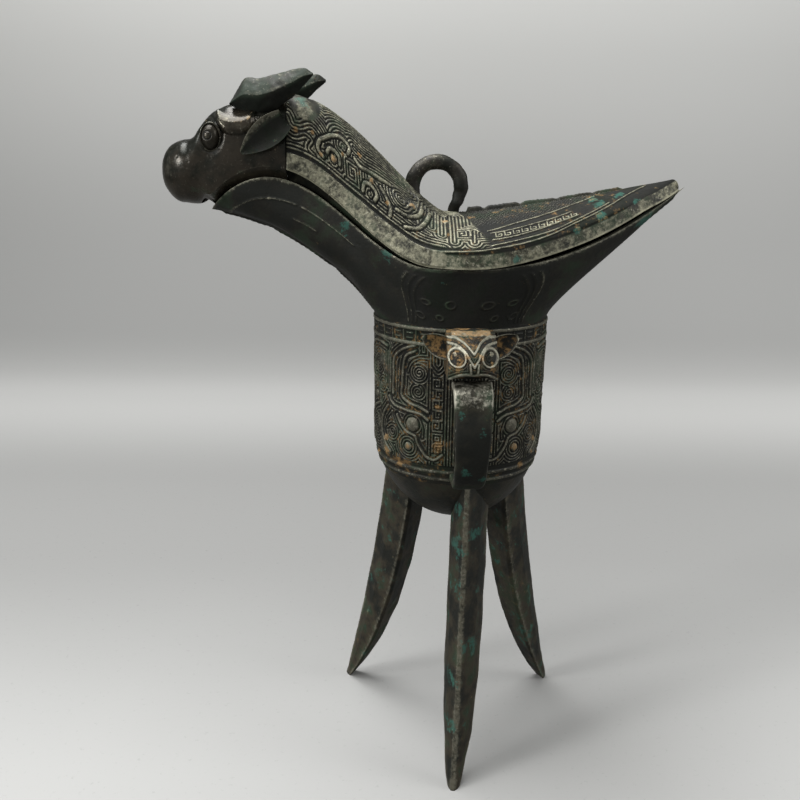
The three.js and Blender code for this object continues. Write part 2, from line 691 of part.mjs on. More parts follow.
const eyePlace = {
  x: eyeBehindLip - spoutReach,
  y: muzzleHalfWidth - eyeInset,
  z: muzzleFloor + muzzleHeight + 0.6,
};
function headEye(sign, grow = 0) {
  return ball(eyeRadius, eyePlace.x, sign * eyePlace.y, eyePlace.z, grow, [0.75, 0.8, 1.05]);
}

function beastHead() {
  let made = solid(loft(headRings(0)));
  [-1, 1].forEach((sign) => {
    const { x, y, z } = eyePlace;
    const browY = sign * (spoutHalfWidth - browInset);
    const brow = ball(browRadius, x + browBehindEye, browY, z + browRise, 0, [1.3, 0.7, 0.72]);
    const socket = ball(eyeRadius, x, sign * (y - socketInset), z, socketInset, [0.85, 0.7, 1.15]);
    made = made.add(brow).add(socket);
  });
  made = made.subtract(solid(loft(headRings(wall + 0.6))));
  [-1, 1].forEach((sign) => {
    made = made.subtract(horn(sign, seatGap)).subtract(headEar(sign, seatGap));
    made = made.subtract(headEye(sign, seatGap));
  });
  return made;
}

function lidShell() {
  let made = solid(loft(lidStations.map(lidSection), true));
  [-1, 1].forEach((sign) => {
    made = made.subtract(horn(sign, seatGap)).subtract(headEar(sign, seatGap));
  });
  return made;
}

// The ring: a round bar bent over, its back end on the neck and its front end on a slimmer stem.
function ringHandle() {
  const height = ridgeHeight + ringRise;
  const over = Array.from({ length: 18 }, (_, k) => {
    const a = mix(-12, 190, k / 17) * degree;
    return [ringRadius * Math.cos(a), ringRadius * Math.sin(a), -Math.sin(a), Math.cos(a), 1];
  });
  // [x and z from the ring's middle, direction in x and z, share of the bar's radius]
  const bar = [
    [ringRadius * 0.66, -ringRise - lipDepth, 0.1, 1, 0.75],
    [ringRadius * 0.78, -ringRise * 0.7, 0.3, 0.95, 0.8],
    ...over,
    [-ringRadius * 0.98, -ringRise - lipDepth, 0, -1, 1],
  ];
  const rings = bar.map(([x, z, alongX, alongZ, share]) => {
    const size = Math.hypot(alongX, alongZ);
    return ringOf(10, (a) => {
      const out = ringBar * share * Math.cos(a);
      const place = [x - ringSet + (out * alongZ) / size, height + z - (out * alongX) / size];
      return point(place[0], ringBar * share * Math.sin(a), place[1]);
    });
  });
  return solid(loft(rings)).subtract(lidSeat());
}

const finishes = {
  dark: { color: 0x2b2f27, roughness: 0.55, metalness: 0.7 },
  green: { color: 0x35483b, roughness: 0.7, metalness: 0.5 },
  worn: { color: 0x4a4339, roughness: 0.45, metalness: 0.8 },
  earth: { color: 0x6b5637, roughness: 0.8, metalness: 0.4 },
};
function piece(name, made, finish) {
  const mesh = new THREE.Mesh(geometryOf(made), new THREE.MeshStandardMaterial(finishes[finish]));
  mesh.name = name;
  return mesh;
}

const cup = new THREE.Group();
cup.add(
  piece("cup_body", cupBody(), "dark"),
  ...Object.entries(legPlaces).map(([name, place]) => piece(name, leg(place), "green")),
  piece("handle_strap", handleStrap(), "dark"),
  piece("handle_mask", handleMask(), "earth"),
  piece("mask_eye_right", maskEye(-1), "worn"),
  piece("mask_eye_left", maskEye(1), "worn"),
  piece("mask_ear_right", maskEar(-1), "earth"),
  piece("mask_ear_left", maskEar(1), "earth"),
);

const lid = new THREE.Group();
lid.add(
  piece("lid_shell", lidShell(), "dark"),
  piece("tail_spine", tailSpine(), "dark"),
  piece("ring_handle", ringHandle(), "dark"),
  piece("beast_head", beastHead(), "worn"),
  piece("horn_left", horn(-1), "green"),
  piece("horn_right", horn(1), "green"),
  piece("ear_left", headEar(-1), "green"),
  piece("ear_right", headEar(1), "green"),
  piece("eye_left", headEye(-1), "worn"),
  piece("eye_right", headEye(1), "worn"),
);

// The origin is on the floor, under the middle of the object's length and width.
const object = new THREE.Group();
object.add(cup, lid);
const bounds = new THREE.Box3().setFromObject(object);
const middle = bounds.getCenter(new THREE.Vector3());
object.position.set(-middle.x, -middle.y, 0);

export default object;
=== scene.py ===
import math
import bpy
import numpy as np
from mathutils import Matrix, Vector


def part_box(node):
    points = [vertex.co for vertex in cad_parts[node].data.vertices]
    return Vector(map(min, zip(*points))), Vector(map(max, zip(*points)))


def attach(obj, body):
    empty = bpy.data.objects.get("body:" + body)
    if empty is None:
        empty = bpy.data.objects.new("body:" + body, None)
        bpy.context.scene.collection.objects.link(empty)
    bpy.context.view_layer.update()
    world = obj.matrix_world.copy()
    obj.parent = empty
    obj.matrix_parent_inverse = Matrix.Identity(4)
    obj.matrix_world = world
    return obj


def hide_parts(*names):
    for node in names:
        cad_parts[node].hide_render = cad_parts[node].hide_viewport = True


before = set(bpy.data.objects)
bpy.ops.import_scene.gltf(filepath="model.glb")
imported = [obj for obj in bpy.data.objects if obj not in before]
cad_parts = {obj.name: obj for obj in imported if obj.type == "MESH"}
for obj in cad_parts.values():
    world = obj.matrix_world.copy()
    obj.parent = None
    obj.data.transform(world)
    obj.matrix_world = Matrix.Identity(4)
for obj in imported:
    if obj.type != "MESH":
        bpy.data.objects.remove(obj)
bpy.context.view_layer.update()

print("frame loaded")

# The mouth of cup and lid, in millimetres from the cup's axis on the floor.
mouth = {
    "height": 182.3, "halfWidth": 33.0, "tailReach": 76.2, "tailRise": 25.5,
    "spoutReach": 87.0, "spoutHalfWidth": 13.0, "spoutRise": 27.4, "riseStart": 11.0,
    "crest": 66.0, "lipDrop": 11.2, "lipRound": 17.0,
}

# The cup's axis on the floor, in metres.
cupLow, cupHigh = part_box("cup_body")
axisPlace = np.array([cupHigh.x - mouth["tailReach"] / 1000, (cupLow.y + cupHigh.y) / 2, 0.0])


def ease(t):
    # Half a cosine wave from 0 to 1.
    return (1 - np.cos(np.pi * np.clip(t, 0, 1))) / 2


def mix(a, b, t):
    # Straight from a to b as t goes from 0 to 1.
    return a + (b - a) * t


def soft(t):
    # 0 below 0, 1 above 1 and a smooth cubic between.
    t = np.clip(t, 0, 1)
    return t * t * (3 - 2 * t)


def curveThrough(xs, ys, x):
    # A cubic through the points, with the slope at each from its two neighbours.
    xs = np.asarray(xs, float)
    ys = np.asarray(ys, float)
    slope = np.gradient(ys, xs)
    k = np.clip(np.searchsorted(xs, x) - 1, 0, len(xs) - 2)
    h = xs[k + 1] - xs[k]
    t = np.clip((x - xs[k]) / h, 0, 1)
    a = (1 + 2 * t) * (1 - t) ** 2 * ys[k] + t * (1 - t) ** 2 * h * slope[k]
    return a + t * t * (3 - 2 * t) * ys[k + 1] + t * t * (t - 1) * h * slope[k + 1]


def lineThrough(points, x):
    points = np.array(points, float)
    return curveThrough(points[:, 0], points[:, 1], x)


def lengthsOf(points):
    # The length of a path up to each of its points.
    return np.concatenate([[0], np.cumsum(np.linalg.norm(np.diff(points, axis=0), axis=1))])


def smoothPath(points, count=None):
    # A cubic through the points in even steps, half a millimetre long unless they are counted, with
    # the length at each step and at each point.
    points = np.array(points, float)
    length = lengthsOf(points)
    s = np.linspace(0, length[-1], count or max(int(length[-1] / 0.5), 6))
    return np.stack([curveThrough(length, points[:, k], s) for k in (0, 1)], 1), s, length


def xyz(x, y, z):
    return np.stack(np.broadcast_arrays(x, y, z), -1)


def around(count):
    return np.linspace(0, 2 * np.pi, count, endpoint=False)


def squared(f, power):
    # A power with the sign kept: below 1 it fills a circle's corners, above 1 it draws them in.
    return np.sign(f) * np.abs(f) ** power


def turned(points, degrees):
    # Turned round the upright axis.
    c, s = math.cos(math.radians(degrees)), math.sin(math.radians(degrees))
    return points @ np.array([[c, s, 0], [-s, c, 0], [0, 0, 1]])


def noiseOf(points, scale, seed):
    # A sum of eight sine waves in fixed odd directions: smooth, repeatable unevenness from -1 to 1.
    k = np.arange(8)[:, None] + seed
    waves = np.concatenate([np.sin(k * 12.9898), np.sin(k * 78.233), np.sin(k * 37.719)], 1) * 2.2
    total = 0
    for wave, shift in zip(waves, np.sin(k[:, 0] * 4.1) * 9):
        total = total + np.sin(points @ wave / scale + shift)
    return total / 4


def unit(vectors):
    return vectors / np.maximum(np.linalg.norm(vectors, axis=-1, keepdims=True), 1e-9)


def normalsOf(points, wrap=False):
    # The cross product of the two grid directions, at unit length.
    if wrap:
        points = np.concatenate([points[:, -1:], points, points[:, :1]], 1)
    n = unit(np.cross(np.gradient(points, axis=1), np.gradient(points, axis=0)))
    return n[:, 1:-1] if wrap else n


def outwards(points, centre, wrap=False):
    # The grid's normals, all turned away from the centre.
    n = normalsOf(points, wrap)
    return n * np.sign(np.sum(n * (points - centre)))


def evenly(y, z, rows):
    # Each row of an outline in y and z, set out again in steps of even length.
    step = np.hypot(np.diff(y, axis=1), np.diff(z, axis=1))
    length = np.concatenate([np.zeros((len(y), 1)), np.cumsum(step, 1)], 1)
    a = length[:, -1:] * np.linspace(0, 1, rows)
    ys = np.stack([np.interp(a[k], length[k], y[k]) for k in range(len(y))])
    zs = np.stack([np.interp(a[k], length[k], z[k]) for k in range(len(y))])
    return ys, zs, a


def gridQuads(rows, cols, wrap):
    # The four corners of each cell, with the last column joined to the first where it wraps.
    index = np.arange(rows * cols).reshape(rows, cols)
    if wrap:
        index = np.concatenate([index, index[:, :1]], 1)
    return np.stack([index[:-1, :-1], index[:-1, 1:], index[1:, 1:], index[1:, :-1]], -1).reshape(-1, 4)


def linked(name, data):
    thing = bpy.data.objects.new(name, data)
    bpy.context.scene.collection.objects.link(thing)
    return thing


bothEnds = ("first", "last")


def addPiece(name, points, body, nodes, material, slot, wrap=False, caps=(), hollow=False, **fields):
    # points is a grid (rows, columns, 3) in millimetres; caps names the ends that get a fan.
    # Faces are turned away from the grid's middle, or towards it for the inside of a hollow.
    rows, cols = points.shape[:2]
    verts = points.reshape(-1, 3)
    quads = gridQuads(rows, cols, wrap)
    fans = []
    fields.setdefault("relief", np.full((rows, cols), 0.5))
    values = {key: (value + np.zeros((rows, cols))).reshape(-1) for key, value in fields.items()}
    for end in caps:
        edge = np.arange(cols) + (0 if end == "first" else (rows - 1) * cols)
        hub = len(verts)
        verts = np.concatenate([verts, verts[edge].mean(0, keepdims=True)])
        for key in values:
            values[key] = np.append(values[key], values[key][edge].mean())
        fan = np.stack([np.full(cols, hub), np.roll(edge, -1), edge], 1)
        fans.append(fan if end == "first" else fan[:, ::-1])
    fans = np.concatenate(fans) if fans else np.zeros((0, 3), int)
    at = verts - verts.mean(0)
    a, b, c, d = (at[quads[:, k]] for k in range(4))
    volume = np.sum(a * np.cross(b, c)) + np.sum(a * np.cross(c, d))
    volume += np.sum(at[fans[:, 0]] * np.cross(at[fans[:, 1]], at[fans[:, 2]]))
    if (volume < 0) != hollow:
        quads = quads[:, ::-1]
        fans = fans[:, ::-1]
    mesh = bpy.data.meshes.new(name)
    mesh.vertices.add(len(verts))
    mesh.vertices.foreach_set("co", (verts / 1000 + axisPlace).ravel())
    loops = np.concatenate([quads.ravel(), fans.ravel()])
    mesh.loops.add(len(loops))
    mesh.loops.foreach_set("vertex_index", loops)
    sizes = np.concatenate([np.full(len(quads), 4), np.full(len(fans), 3)])
    mesh.polygons.add(len(sizes))
    mesh.polygons.foreach_set("loop_start", np.concatenate([[0], np.cumsum(sizes)[:-1]]))
    mesh.polygons.foreach_set("use_smooth", np.ones(len(sizes), bool))
    for key, value in values.items():
        layer = mesh.attributes.new(key, "FLOAT", "POINT")
        layer.data.foreach_set("value", value.astype(np.float32))
    mesh.update()
    mesh.validate()
    mesh.materials.append(material)
    piece = linked(name, mesh)
    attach(piece, body)
    if nodes:
        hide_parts(*nodes)


# Shader nodes written as expressions
class Value:
    def __init__(self, tree, socket):
        self.tree = tree
        self.socket = socket

    def maths(self, operation, *others):
        node = self.tree.nodes.new("ShaderNodeMath")
        node.operation = operation
        for socket, value in zip(node.inputs, (self, *others)):
            plug(self.tree, socket, value)
        return Value(self.tree, node.outputs[0])

    def __add__(self, other):
        return self.maths("ADD", other)

    def __sub__(self, other):
        return self.maths("SUBTRACT", other)

    def __mul__(self, other):
        return self.maths("MULTIPLY", other)

    def __rsub__(self, other):
        return self.maths("MULTIPLY", -1.0).maths("ADD", other)

    __radd__ = __add__
    __rmul__ = __mul__

    def step(self, low, high):
        # 0 below low, 1 above high, and a smooth rise between.
        node = self.tree.nodes.new("ShaderNodeMapRange")
        node.interpolation_type = "SMOOTHSTEP"
        plug(self.tree, node.inputs["Value"], self)
        node.inputs["From Min"].default_value = low
        node.inputs["From Max"].default_value = high
        return Value(self.tree, node.outputs["Result"])

    def largest(self, other):
        return self.maths("MAXIMUM", other)


def plug(tree, socket, value):
    if isinstance(value, Value):
        tree.links.new(value.socket, socket)
    elif isinstance(value, bpy.types.NodeSocket):
        tree.links.new(value, socket)
    else:
        socket.default_value = value


class Finish:
    def __init__(self, name):
        self.material = bpy.data.materials.new(name)
        self.material.use_nodes = True
        self.tree = self.material.node_tree
        self.shader = self.tree.nodes["Principled BSDF"]
        self.place = self.node("ShaderNodeTexCoord").outputs["Object"]

    def node(self, kind, settings=None, inputs=None):
        node = self.tree.nodes.new(kind)
        for key, value in (settings or {}).items():
            setattr(node, key, value)
        for key, value in (inputs or {}).items():
            plug(self.tree, node.inputs[key], value)
        return node

    def moved(self, shift, scale=1.0):
        inputs = {"Vector": self.place, "Location": shift, "Scale": (scale, scale, scale)}
        return self.node("ShaderNodeMapping", None, inputs).outputs[0]

    def noise(self, size, detail=4.0, rough=0.6, shift=(0, 0, 0)):
        # size is the width of a patch in millimetres.
        inputs = {"Vector": self.moved(shift, 1000 / size), "Scale": 1.0, "Detail": detail,
                  "Roughness": rough}
        return Value(self.tree, self.node("ShaderNodeTexNoise", None, inputs).outputs["Fac"])

    def cells(self, size, shift=(0, 0, 0)):
        inputs = {"Vector": self.moved(shift), "Scale": 1000 / size}
        return Value(self.tree, self.node("ShaderNodeTexVoronoi", None, inputs).outputs["Distance"])

    def field(self, name):
        return Value(self.tree, self.node("ShaderNodeAttribute", {"attribute_name": name}).outputs["Fac"])

    def axes(self):
        parts = self.node("ShaderNodeSeparateXYZ", None, {"Vector": self.place})
        return [Value(self.tree, socket) for socket in parts.outputs]

    def blend(self, factor, a, b):
        node = self.node("ShaderNodeMix", {"data_type": "RGBA", "clamp_factor": True})
        plug(self.tree, node.inputs[0], factor)
        for socket, value in ((node.inputs[6], a), (node.inputs[7], b)):
            plug(self.tree, socket, (*value, 1.0) if isinstance(value, tuple) else value)
        return node.outputs[2]

    def set(self, **sockets):
        for key, value in sockets.items():
            plug(self.tree, self.shader.inputs[key.replace("_", " ")], value)

    def bump(self, distance, height, normal=None):
        inputs = {"Distance": distance / 1000, "Strength": 1.0, "Height": height}
        node = self.node("ShaderNodeBump", None, inputs)
        if normal:
            plug(self.tree, node.inputs["Normal"], normal)
        return node.outputs[0]


# Fields of a piece's points: relief runs from the bottom of an engraved line to a worn edge, and on
# some pieces it also carries painted light and shade; teal and earth are patches of verdigris and of
# burial earth.
bronzeLook = {
    "ground": (0.0055, 0.006, 0.0045),
    "dark": (0.013, 0.0145, 0.0105),
    "brown": (0.036, 0.031, 0.02),
    "green": (0.026, 0.046, 0.024),
    "teal": (0.032, 0.11, 0.085),
    "earth": (0.3, 0.18, 0.07),
    "worn": (0.2, 0.19, 0.145),
    # The next colour is for painted glints: tiny highlights on raised parts.
    "spark": (0.5, 0.48, 0.39),
    "greenShare": 0.45, "tealShare": 0.15, "earthShare": 0.25, "wornShare": 0.7, "wornFrom": 0.55,
    "sparkShare": 0.45, "metal": 0.3, "gloss": 0.5, "pits": 0.06, "grain": 0.07, "shift": 0.0,
}


def bronze(name, **changes):
    look = {**bronzeLook, **changes}
    make = Finish(name)
    shift = (look["shift"], look["shift"] * 0.7, look["shift"] * 1.3)
    # Each mask is a noise cut at a level, and the level falls as the share rises.
    broad = make.noise(24, 3, 0.55, shift)
    patch = make.noise(9, 5, 0.62, shift)
    spots = make.noise(3.4, 5, 0.7, shift)
    fine = make.noise(1.2, 4, 0.7, shift)
    grit = make.noise(0.6, 2, 0.6, shift)
    high = make.field("relief")
    low = 1 - high.step(0.08, 0.55)
    colour = make.blend((broad * 0.4 + patch * 0.6).step(0.42, 0.58), look["dark"], look["brown"])
    greenFrom = 0.62 - 0.3 * look["greenShare"]
    greenMask = (patch * 0.6 + broad * 0.4).step(greenFrom, greenFrom + 0.1)
    colour = make.blend(greenMask * 0.85, colour, look["green"])
    # Worn colour where relief is high: wear, and painted light on the strap's top, the ring's top, the
    # horns' upper halves and the snout.
    wearAndPaintedLight = (high + (spots - 0.5) * 1.1 + (fine - 0.5) * 0.9).step(look["wornFrom"], look["wornFrom"] + 0.5)
    colour = make.blend(wearAndPaintedLight * look["wornShare"] * (0.55 + fine * 0.9), colour, look["worn"])
    # Ground colour where relief is low: dark patina in engraved lines, and painted shade on the horns' lower
    # halves and the mask's lower face.
    colour = make.blend(low * 0.85, colour, look["ground"])
    tealFrom = 0.68 - 0.3 * look["tealShare"]
    tealMask = (spots * 0.5 + patch * 0.5).step(tealFrom, tealFrom + 0.08)
    tealMask = tealMask.largest((make.field("teal") + (spots - 0.5) * 2.4 + (fine - 0.5)).step(0.45, 0.8))
    colour = make.blend(tealMask * (0.3 + fine), colour, look["teal"])
    earthFrom = 0.66 - 0.28 * look["earthShare"]
    earthMask = low * (broad * 0.35 + spots * 0.65).step(earthFrom, earthFrom + 0.1)
    earthMask = earthMask.largest((make.field("earth") + (spots - 0.5) * 2.4 + (fine - 0.5)).step(0.4,
                                                                                                  0.85))
    colour = make.blend(earthMask * (0.25 + fine), colour, look["earth"])
    # Painted glints: tiny bright specks on raised parts stand in for highlights.
    paintedGlints = (grit * 0.6 + fine * 0.4).step(0.57, 0.66) * high.step(0.3, 0.8)
    colour = make.blend(paintedGlints * look["sparkShare"], colour, look["spark"])
    dull = greenMask.largest(tealMask).largest(earthMask)
    metal = (1 - dull * 0.8) * (1 - low * 0.7) * (wearAndPaintedLight * 0.35 + look["metal"])
    rough = dull * 0.18 + (fine - 0.5) * 0.3 + low * 0.3 + look["gloss"]
    pits = make.cells(2.3, shift).step(0.0, 0.35)
    normal = make.bump(look["grain"], fine + grit * 0.5)
    normal = make.bump(look["pits"], pits * (0.4 + spots), normal)
    make.set(Base_Color=colour, Metallic=metal, Roughness=rough, Normal=normal, Specular_IOR_Level=0.35)
    return make.material


bandBronze = bronze("bandBronze", earthShare=0.45, wornShare=0.65, metal=0.25)
flareBronze = bronze("flareBronze", earthShare=0.05, wornShare=0.6, tealShare=0.2, wornFrom=0.6,
                     brown=(0.028, 0.022, 0.015), worn=(0.3, 0.29, 0.22), shift=3.0)
bowlBronze = bronze("bowlBronze", greenShare=0.2, tealShare=0.0, wornShare=0.12, gloss=0.42, sparkShare=0.1,
                    shift=5.0)
innerBronze = bronze("innerBronze", wornShare=0.1, gloss=0.6, sparkShare=0.1, shift=7.0)
legBronze = bronze("legBronze", greenShare=0.4, tealShare=0.4, wornShare=0.75, sparkShare=0.3, metal=0.2,
                   brown=(0.075, 0.058, 0.036), shift=9.0)
lidBronze = bronze("lidBronze", earthShare=0.35, wornShare=0.95, brown=(0.06, 0.054, 0.038),
                   worn=(0.29, 0.28, 0.2), sparkShare=0.65, shift=11.0)
headBronze = bronze("headBronze", greenShare=0.1, tealShare=0.0, earthShare=0.1, wornShare=0.4, gloss=0.2,
                    metal=0.5, brown=(0.04, 0.033, 0.024), grain=0.04, sparkShare=0.25, shift=13.0)
eyeBronze = bronze("eyeBronze", greenShare=0.1, tealShare=0.0, earthShare=0.0, wornShare=0.2, gloss=0.3,
                   metal=0.5, dark=(0.02, 0.018, 0.013), brown=(0.035, 0.03, 0.022), grain=0.02,
                   sparkShare=0.15, shift=14.0)
earBronze = bronze("earBronze", greenShare=0.5, tealShare=0.3, wornShare=0.9, shift=16.0)
hornBronze = bronze("hornBronze", greenShare=0.6, tealShare=0.1, wornShare=0.35,
                    green=(0.014, 0.028, 0.016), shift=15.0)
maskBronze = bronze("maskBronze", earthShare=0.6, wornShare=0.95, worn=(0.28, 0.27, 0.21), sparkShare=0.6,
                    brown=(0.06, 0.045, 0.028), shift=17.0)
# The strap's pale worn colour is painted light on its top as well as wear.
strapBronze = bronze("strapBronze", greenShare=0.4, wornShare=0.95, sparkShare=0.3, worn=(0.46, 0.44, 0.36),
                     brown=(0.05, 0.044, 0.03), shift=19.0)
ringBronze = bronze("ringBronze", greenShare=0.2, wornShare=0.3, brown=(0.032, 0.028, 0.023), shift=21.0)
print("finishes made")


# Ornament: strokes drawn on a flat raster in millimetres, then laid over a surface
rasterStep = 0.12


def distanceTo(size, strokes, reach, start=(0.0, 0.0)):
    # Each raster point's distance to the nearest stroke, up to reach. Only a window round each
    # stretch of a stroke is worked out.
    us = start[0] + np.arange(int(size[0] / rasterStep) + 1) * rasterStep
    vs = start[1] + np.arange(int(size[1] / rasterStep) + 1) * rasterStep
    field = np.full((len(vs), len(us)), float(reach))
    for stroke in strokes:
        stroke = np.asarray(stroke, float)
        for (x0, y0), (x1, y1) in zip(stroke[:-1], stroke[1:]):
            i0 = max(int((min(x0, x1) - reach - start[0]) / rasterStep), 0)
            i1 = int((max(x0, x1) + reach - start[0]) / rasterStep) + 2
            j0 = max(int((min(y0, y1) - reach - start[1]) / rasterStep), 0)
            j1 = int((max(y0, y1) + reach - start[1]) / rasterStep) + 2
            if i1 <= 0 or j1 <= 0 or i0 >= len(us) or j0 >= len(vs):
                continue
            u = us[i0:i1][None, :] - x0
            v = vs[j0:j1][:, None] - y0
            dx, dy = x1 - x0, y1 - y0
            t = np.clip((u * dx + v * dy) / max(dx * dx + dy * dy, 1e-9), 0, 1)
            window = field[j0:j1, i0:i1]
            np.minimum(window, np.hypot(u - t * dx, v - t * dy), out=window)
    return field


def readRaster(raster, u, v, start=(0.0, 0.0)):
    # Bilinear reading of the raster at any place.
    i = np.clip((u - start[0]) / rasterStep, 0, raster.shape[1] - 1.001)
    j = np.clip((v - start[1]) / rasterStep, 0, raster.shape[0] - 1.001)
    i0, j0 = i.astype(int), j.astype(int)
    fi, fj = i - i0, j - j0
    low = raster[j0, i0] * (1 - fi) + raster[j0, i0 + 1] * fi
    high = raster[j0 + 1, i0] * (1 - fi) + raster[j0 + 1, i0 + 1] * fi
    return low * (1 - fj) + high * fj


def squareSpiral(cx, cy, size, turns=2, hand=1, lean=0.0):
    # A squared spiral: the arm shortens by one pitch at each second corner.
    pitch = size / (2 * turns + 1)
    x, y, length = -size / 2, -size / 2, size
    points = [(x, y)]
    for k in range(4 * turns + 1):
        dx, dy = ((1, 0), (0, 1), (-1, 0), (0, -1))[k % 4]
        x, y = x + dx * length, y + dy * length
        points.append((x, y))
        if k % 2 == 1 or k == 0:
            length -= pitch if k else 0
    points = np.array(points) * (hand, 1)
    turn = np.array([[math.cos(lean), -math.sin(lean)], [math.sin(lean), math.cos(lean)]])
    return points @ turn.T + (cx, cy)


def roundSpiral(cx, cy, radius, turns=2.0, start=0.0, hand=1, core=0.1):
    # The radius grows evenly with the angle, from the core out.
    t = np.linspace(0, 1, int(22 * turns) + 8)
    angle = start + hand * 2 * np.pi * turns * t
    r = radius * mix(core, 1, t)
    return np.stack([cx + r * np.cos(angle), cy + r * np.sin(angle)], 1)


def circle(cx, cy, radius):
    return roundSpiral(cx, cy, radius, 1.0, core=1.0)


def flowing(*points):
    # A smooth stroke through a few chosen points.
    return smoothPath(points)[0]


def ridge(distance, half, edge=0.3):
    # Flat-topped line: 1 within half of the stroke and 0 beyond, with a soft edge.
    return soft((half + edge / 2 - distance) / edge)


def contours(gap, pitch, land, edge=0.3):
    # Lines at even distances from the strokes, raised for the given share of each pitch.
    phase = np.abs((gap / pitch + 0.5) % 1 - 0.5) * pitch
    return ridge(phase, land * pitch / 2, edge)


def domes(u, v, places):
    # Rounded bosses; each place is (u, v, radius, height).
    return np.maximum.reduce([h * np.sqrt(np.clip(1 - ((u - a) ** 2 + (v - b) ** 2) / r ** 2, 0, 1))
                              for a, b, r, h in places])


def patches(u, v, places):
    # Soft spots; each place is (u, v, radius).
    return np.maximum.reduce([np.exp(-((u - a) ** 2 + (v - b) ** 2) / r ** 2) for a, b, r in places])


# The wall: bowl, ornament band and flare
wall = {
    "radius": 30.6, "bowlRadius": 30.2, "bowlTop": 121.0, "bowlDepth": 34.0, "shoulder": 163.0,
    "thickness": 2.2, "columns": 960, "bandRows": 270, "flareRows": 126, "base": 107.6, "quarter": 47.44,
}


def rimHeight(x):
    # A parabola up to the tail, a wave up to the spout's crest and a drop to the lip.
    away = -x
    tail = mouth["height"] + mouth["tailRise"] * (x / mouth["tailReach"]) ** 2
    rise = ease((away - mouth["riseStart"]) / (mouth["crest"] - mouth["riseStart"]))
    wave = mouth["height"] + mouth["spoutRise"] * rise
    past = (away - mouth["crest"]) / (mouth["spoutReach"] - mouth["crest"])
    lip = mouth["height"] + mouth["spoutRise"] - mouth["lipDrop"] * past ** 2
    return np.where(x >= 0, tail, np.where(away <= mouth["crest"], wave, lip))


def halfWidth(x, inset=0.0, endInset=0.0):
    # A cosine leaf to the tail and a waisted spout with a rounded end.
    wide = mouth["halfWidth"] - inset
    tail = wide * np.cos(np.pi / 2 * np.clip(x / (mouth["tailReach"] - endInset), 0, 1)) ** 1.12
    away = np.minimum(-x, mouth["spoutReach"] - inset)
    narrow = ease(away / (mouth["crest"] - mouth["riseStart"]))
    side = mix(wide, mouth["spoutHalfWidth"] - inset, narrow)
    turn = np.clip((away - (mouth["spoutReach"] - inset - mouth["lipRound"])) / mouth["lipRound"], 0, 1)
    return np.where(x >= 0, tail, side * np.sqrt(np.maximum(0, 1 - turn ** 2.4)))


def flarePoints(angles, t, inset=0.0):
    # Cubic curves from the shoulder circle up and out to the rim, one for each angle, then the
    # hollow flanks of the spout: its walls stand farther in and steeper below the rim.
    c, s = np.cos(angles), np.sin(angles)
    tipInset = inset * 3
    reach = np.where(c >= 0, mouth["tailReach"] - tipInset, mouth["spoutReach"] - inset)
    x = np.where(c >= 0, reach * c, -reach * np.abs(c) ** 1.35)
    y = halfWidth(x, inset, tipInset) * np.sign(s) * (np.abs(s) > 1e-6)
    radius = wall["radius"] - inset
    start = xyz(radius * c, radius * s, wall["shoulder"])
    end = xyz(x, y, rimHeight(x))
    toTail, toSpout = np.maximum(0, c), np.maximum(0, -c)
    outward = (end - start) * (1, 1, 0)
    slope = halfWidth(x - 0.5, inset, tipInset) - halfWidth(x + 0.5, inset, tipInset)
    normal = unit(np.stack([slope, np.maximum(np.abs(y), 0.01) * 0.3], 1))
    widening = np.where(np.abs(y) > np.abs(start[:, 1]), 1, -1)
    along = unit(np.stack([outward[:, 0], np.abs(outward[:, 1]) * widening], 1))
    square = np.clip(np.sum(along * normal, 1), 0, 1)
    lift = inset * 0.45 * (toTail + toSpout)
    pull = (0.5 + 0.07 * toTail - 0.02 * toSpout) * square
    upright = 9 * (1 - 0.56 * toTail - 0.28 * toSpout)
    sag = mix(upright, np.linalg.norm(outward, axis=1) * (0.5 * toTail + 0.05 * toSpout), square)
    low = start + xyz(0, 0, 6 - toTail - toSpout + lift)
    high = end - outward * pull[:, None] + xyz(0, 0, lift - sag)
    t = np.asarray(t)[:, None, None]
    p = (1 - t) ** 3 * start + 3 * (1 - t) ** 2 * t * low + 3 * (1 - t) * t * t * high + t ** 3 * end
    waist = soft((-p[..., 0] - 30.6) / 10) * (1 - soft((-p[..., 0] - 62) / 24))
    below = (rimHeight(p[..., 0]) - p[..., 2]) * (1 - 0.03 * waist)
    beside = soft((np.abs(p[..., 1]) - 1) / 8)
    p[..., 2] = rimHeight(p[..., 0]) - below + 4 * beside * waist * np.clip(below / 25, 0, 1)
    return p


def wallRadius(z):
    # Half an ellipse up to the bowl's top, then a wall that widens with the square of the height.
    bowl = wall["bowlRadius"] * np.sqrt(np.maximum(1 - ((wall["bowlTop"] - z) / wall["bowlDepth"]) ** 2, 0))
    up = np.clip((z - wall["bowlTop"]) / (wall["shoulder"] - wall["bowlTop"]), 0, 1)
    return np.where(z < wall["bowlTop"], bowl, mix(wall["bowlRadius"], wall["radius"], up ** 2))


bandStart = (0.0, 106.0)


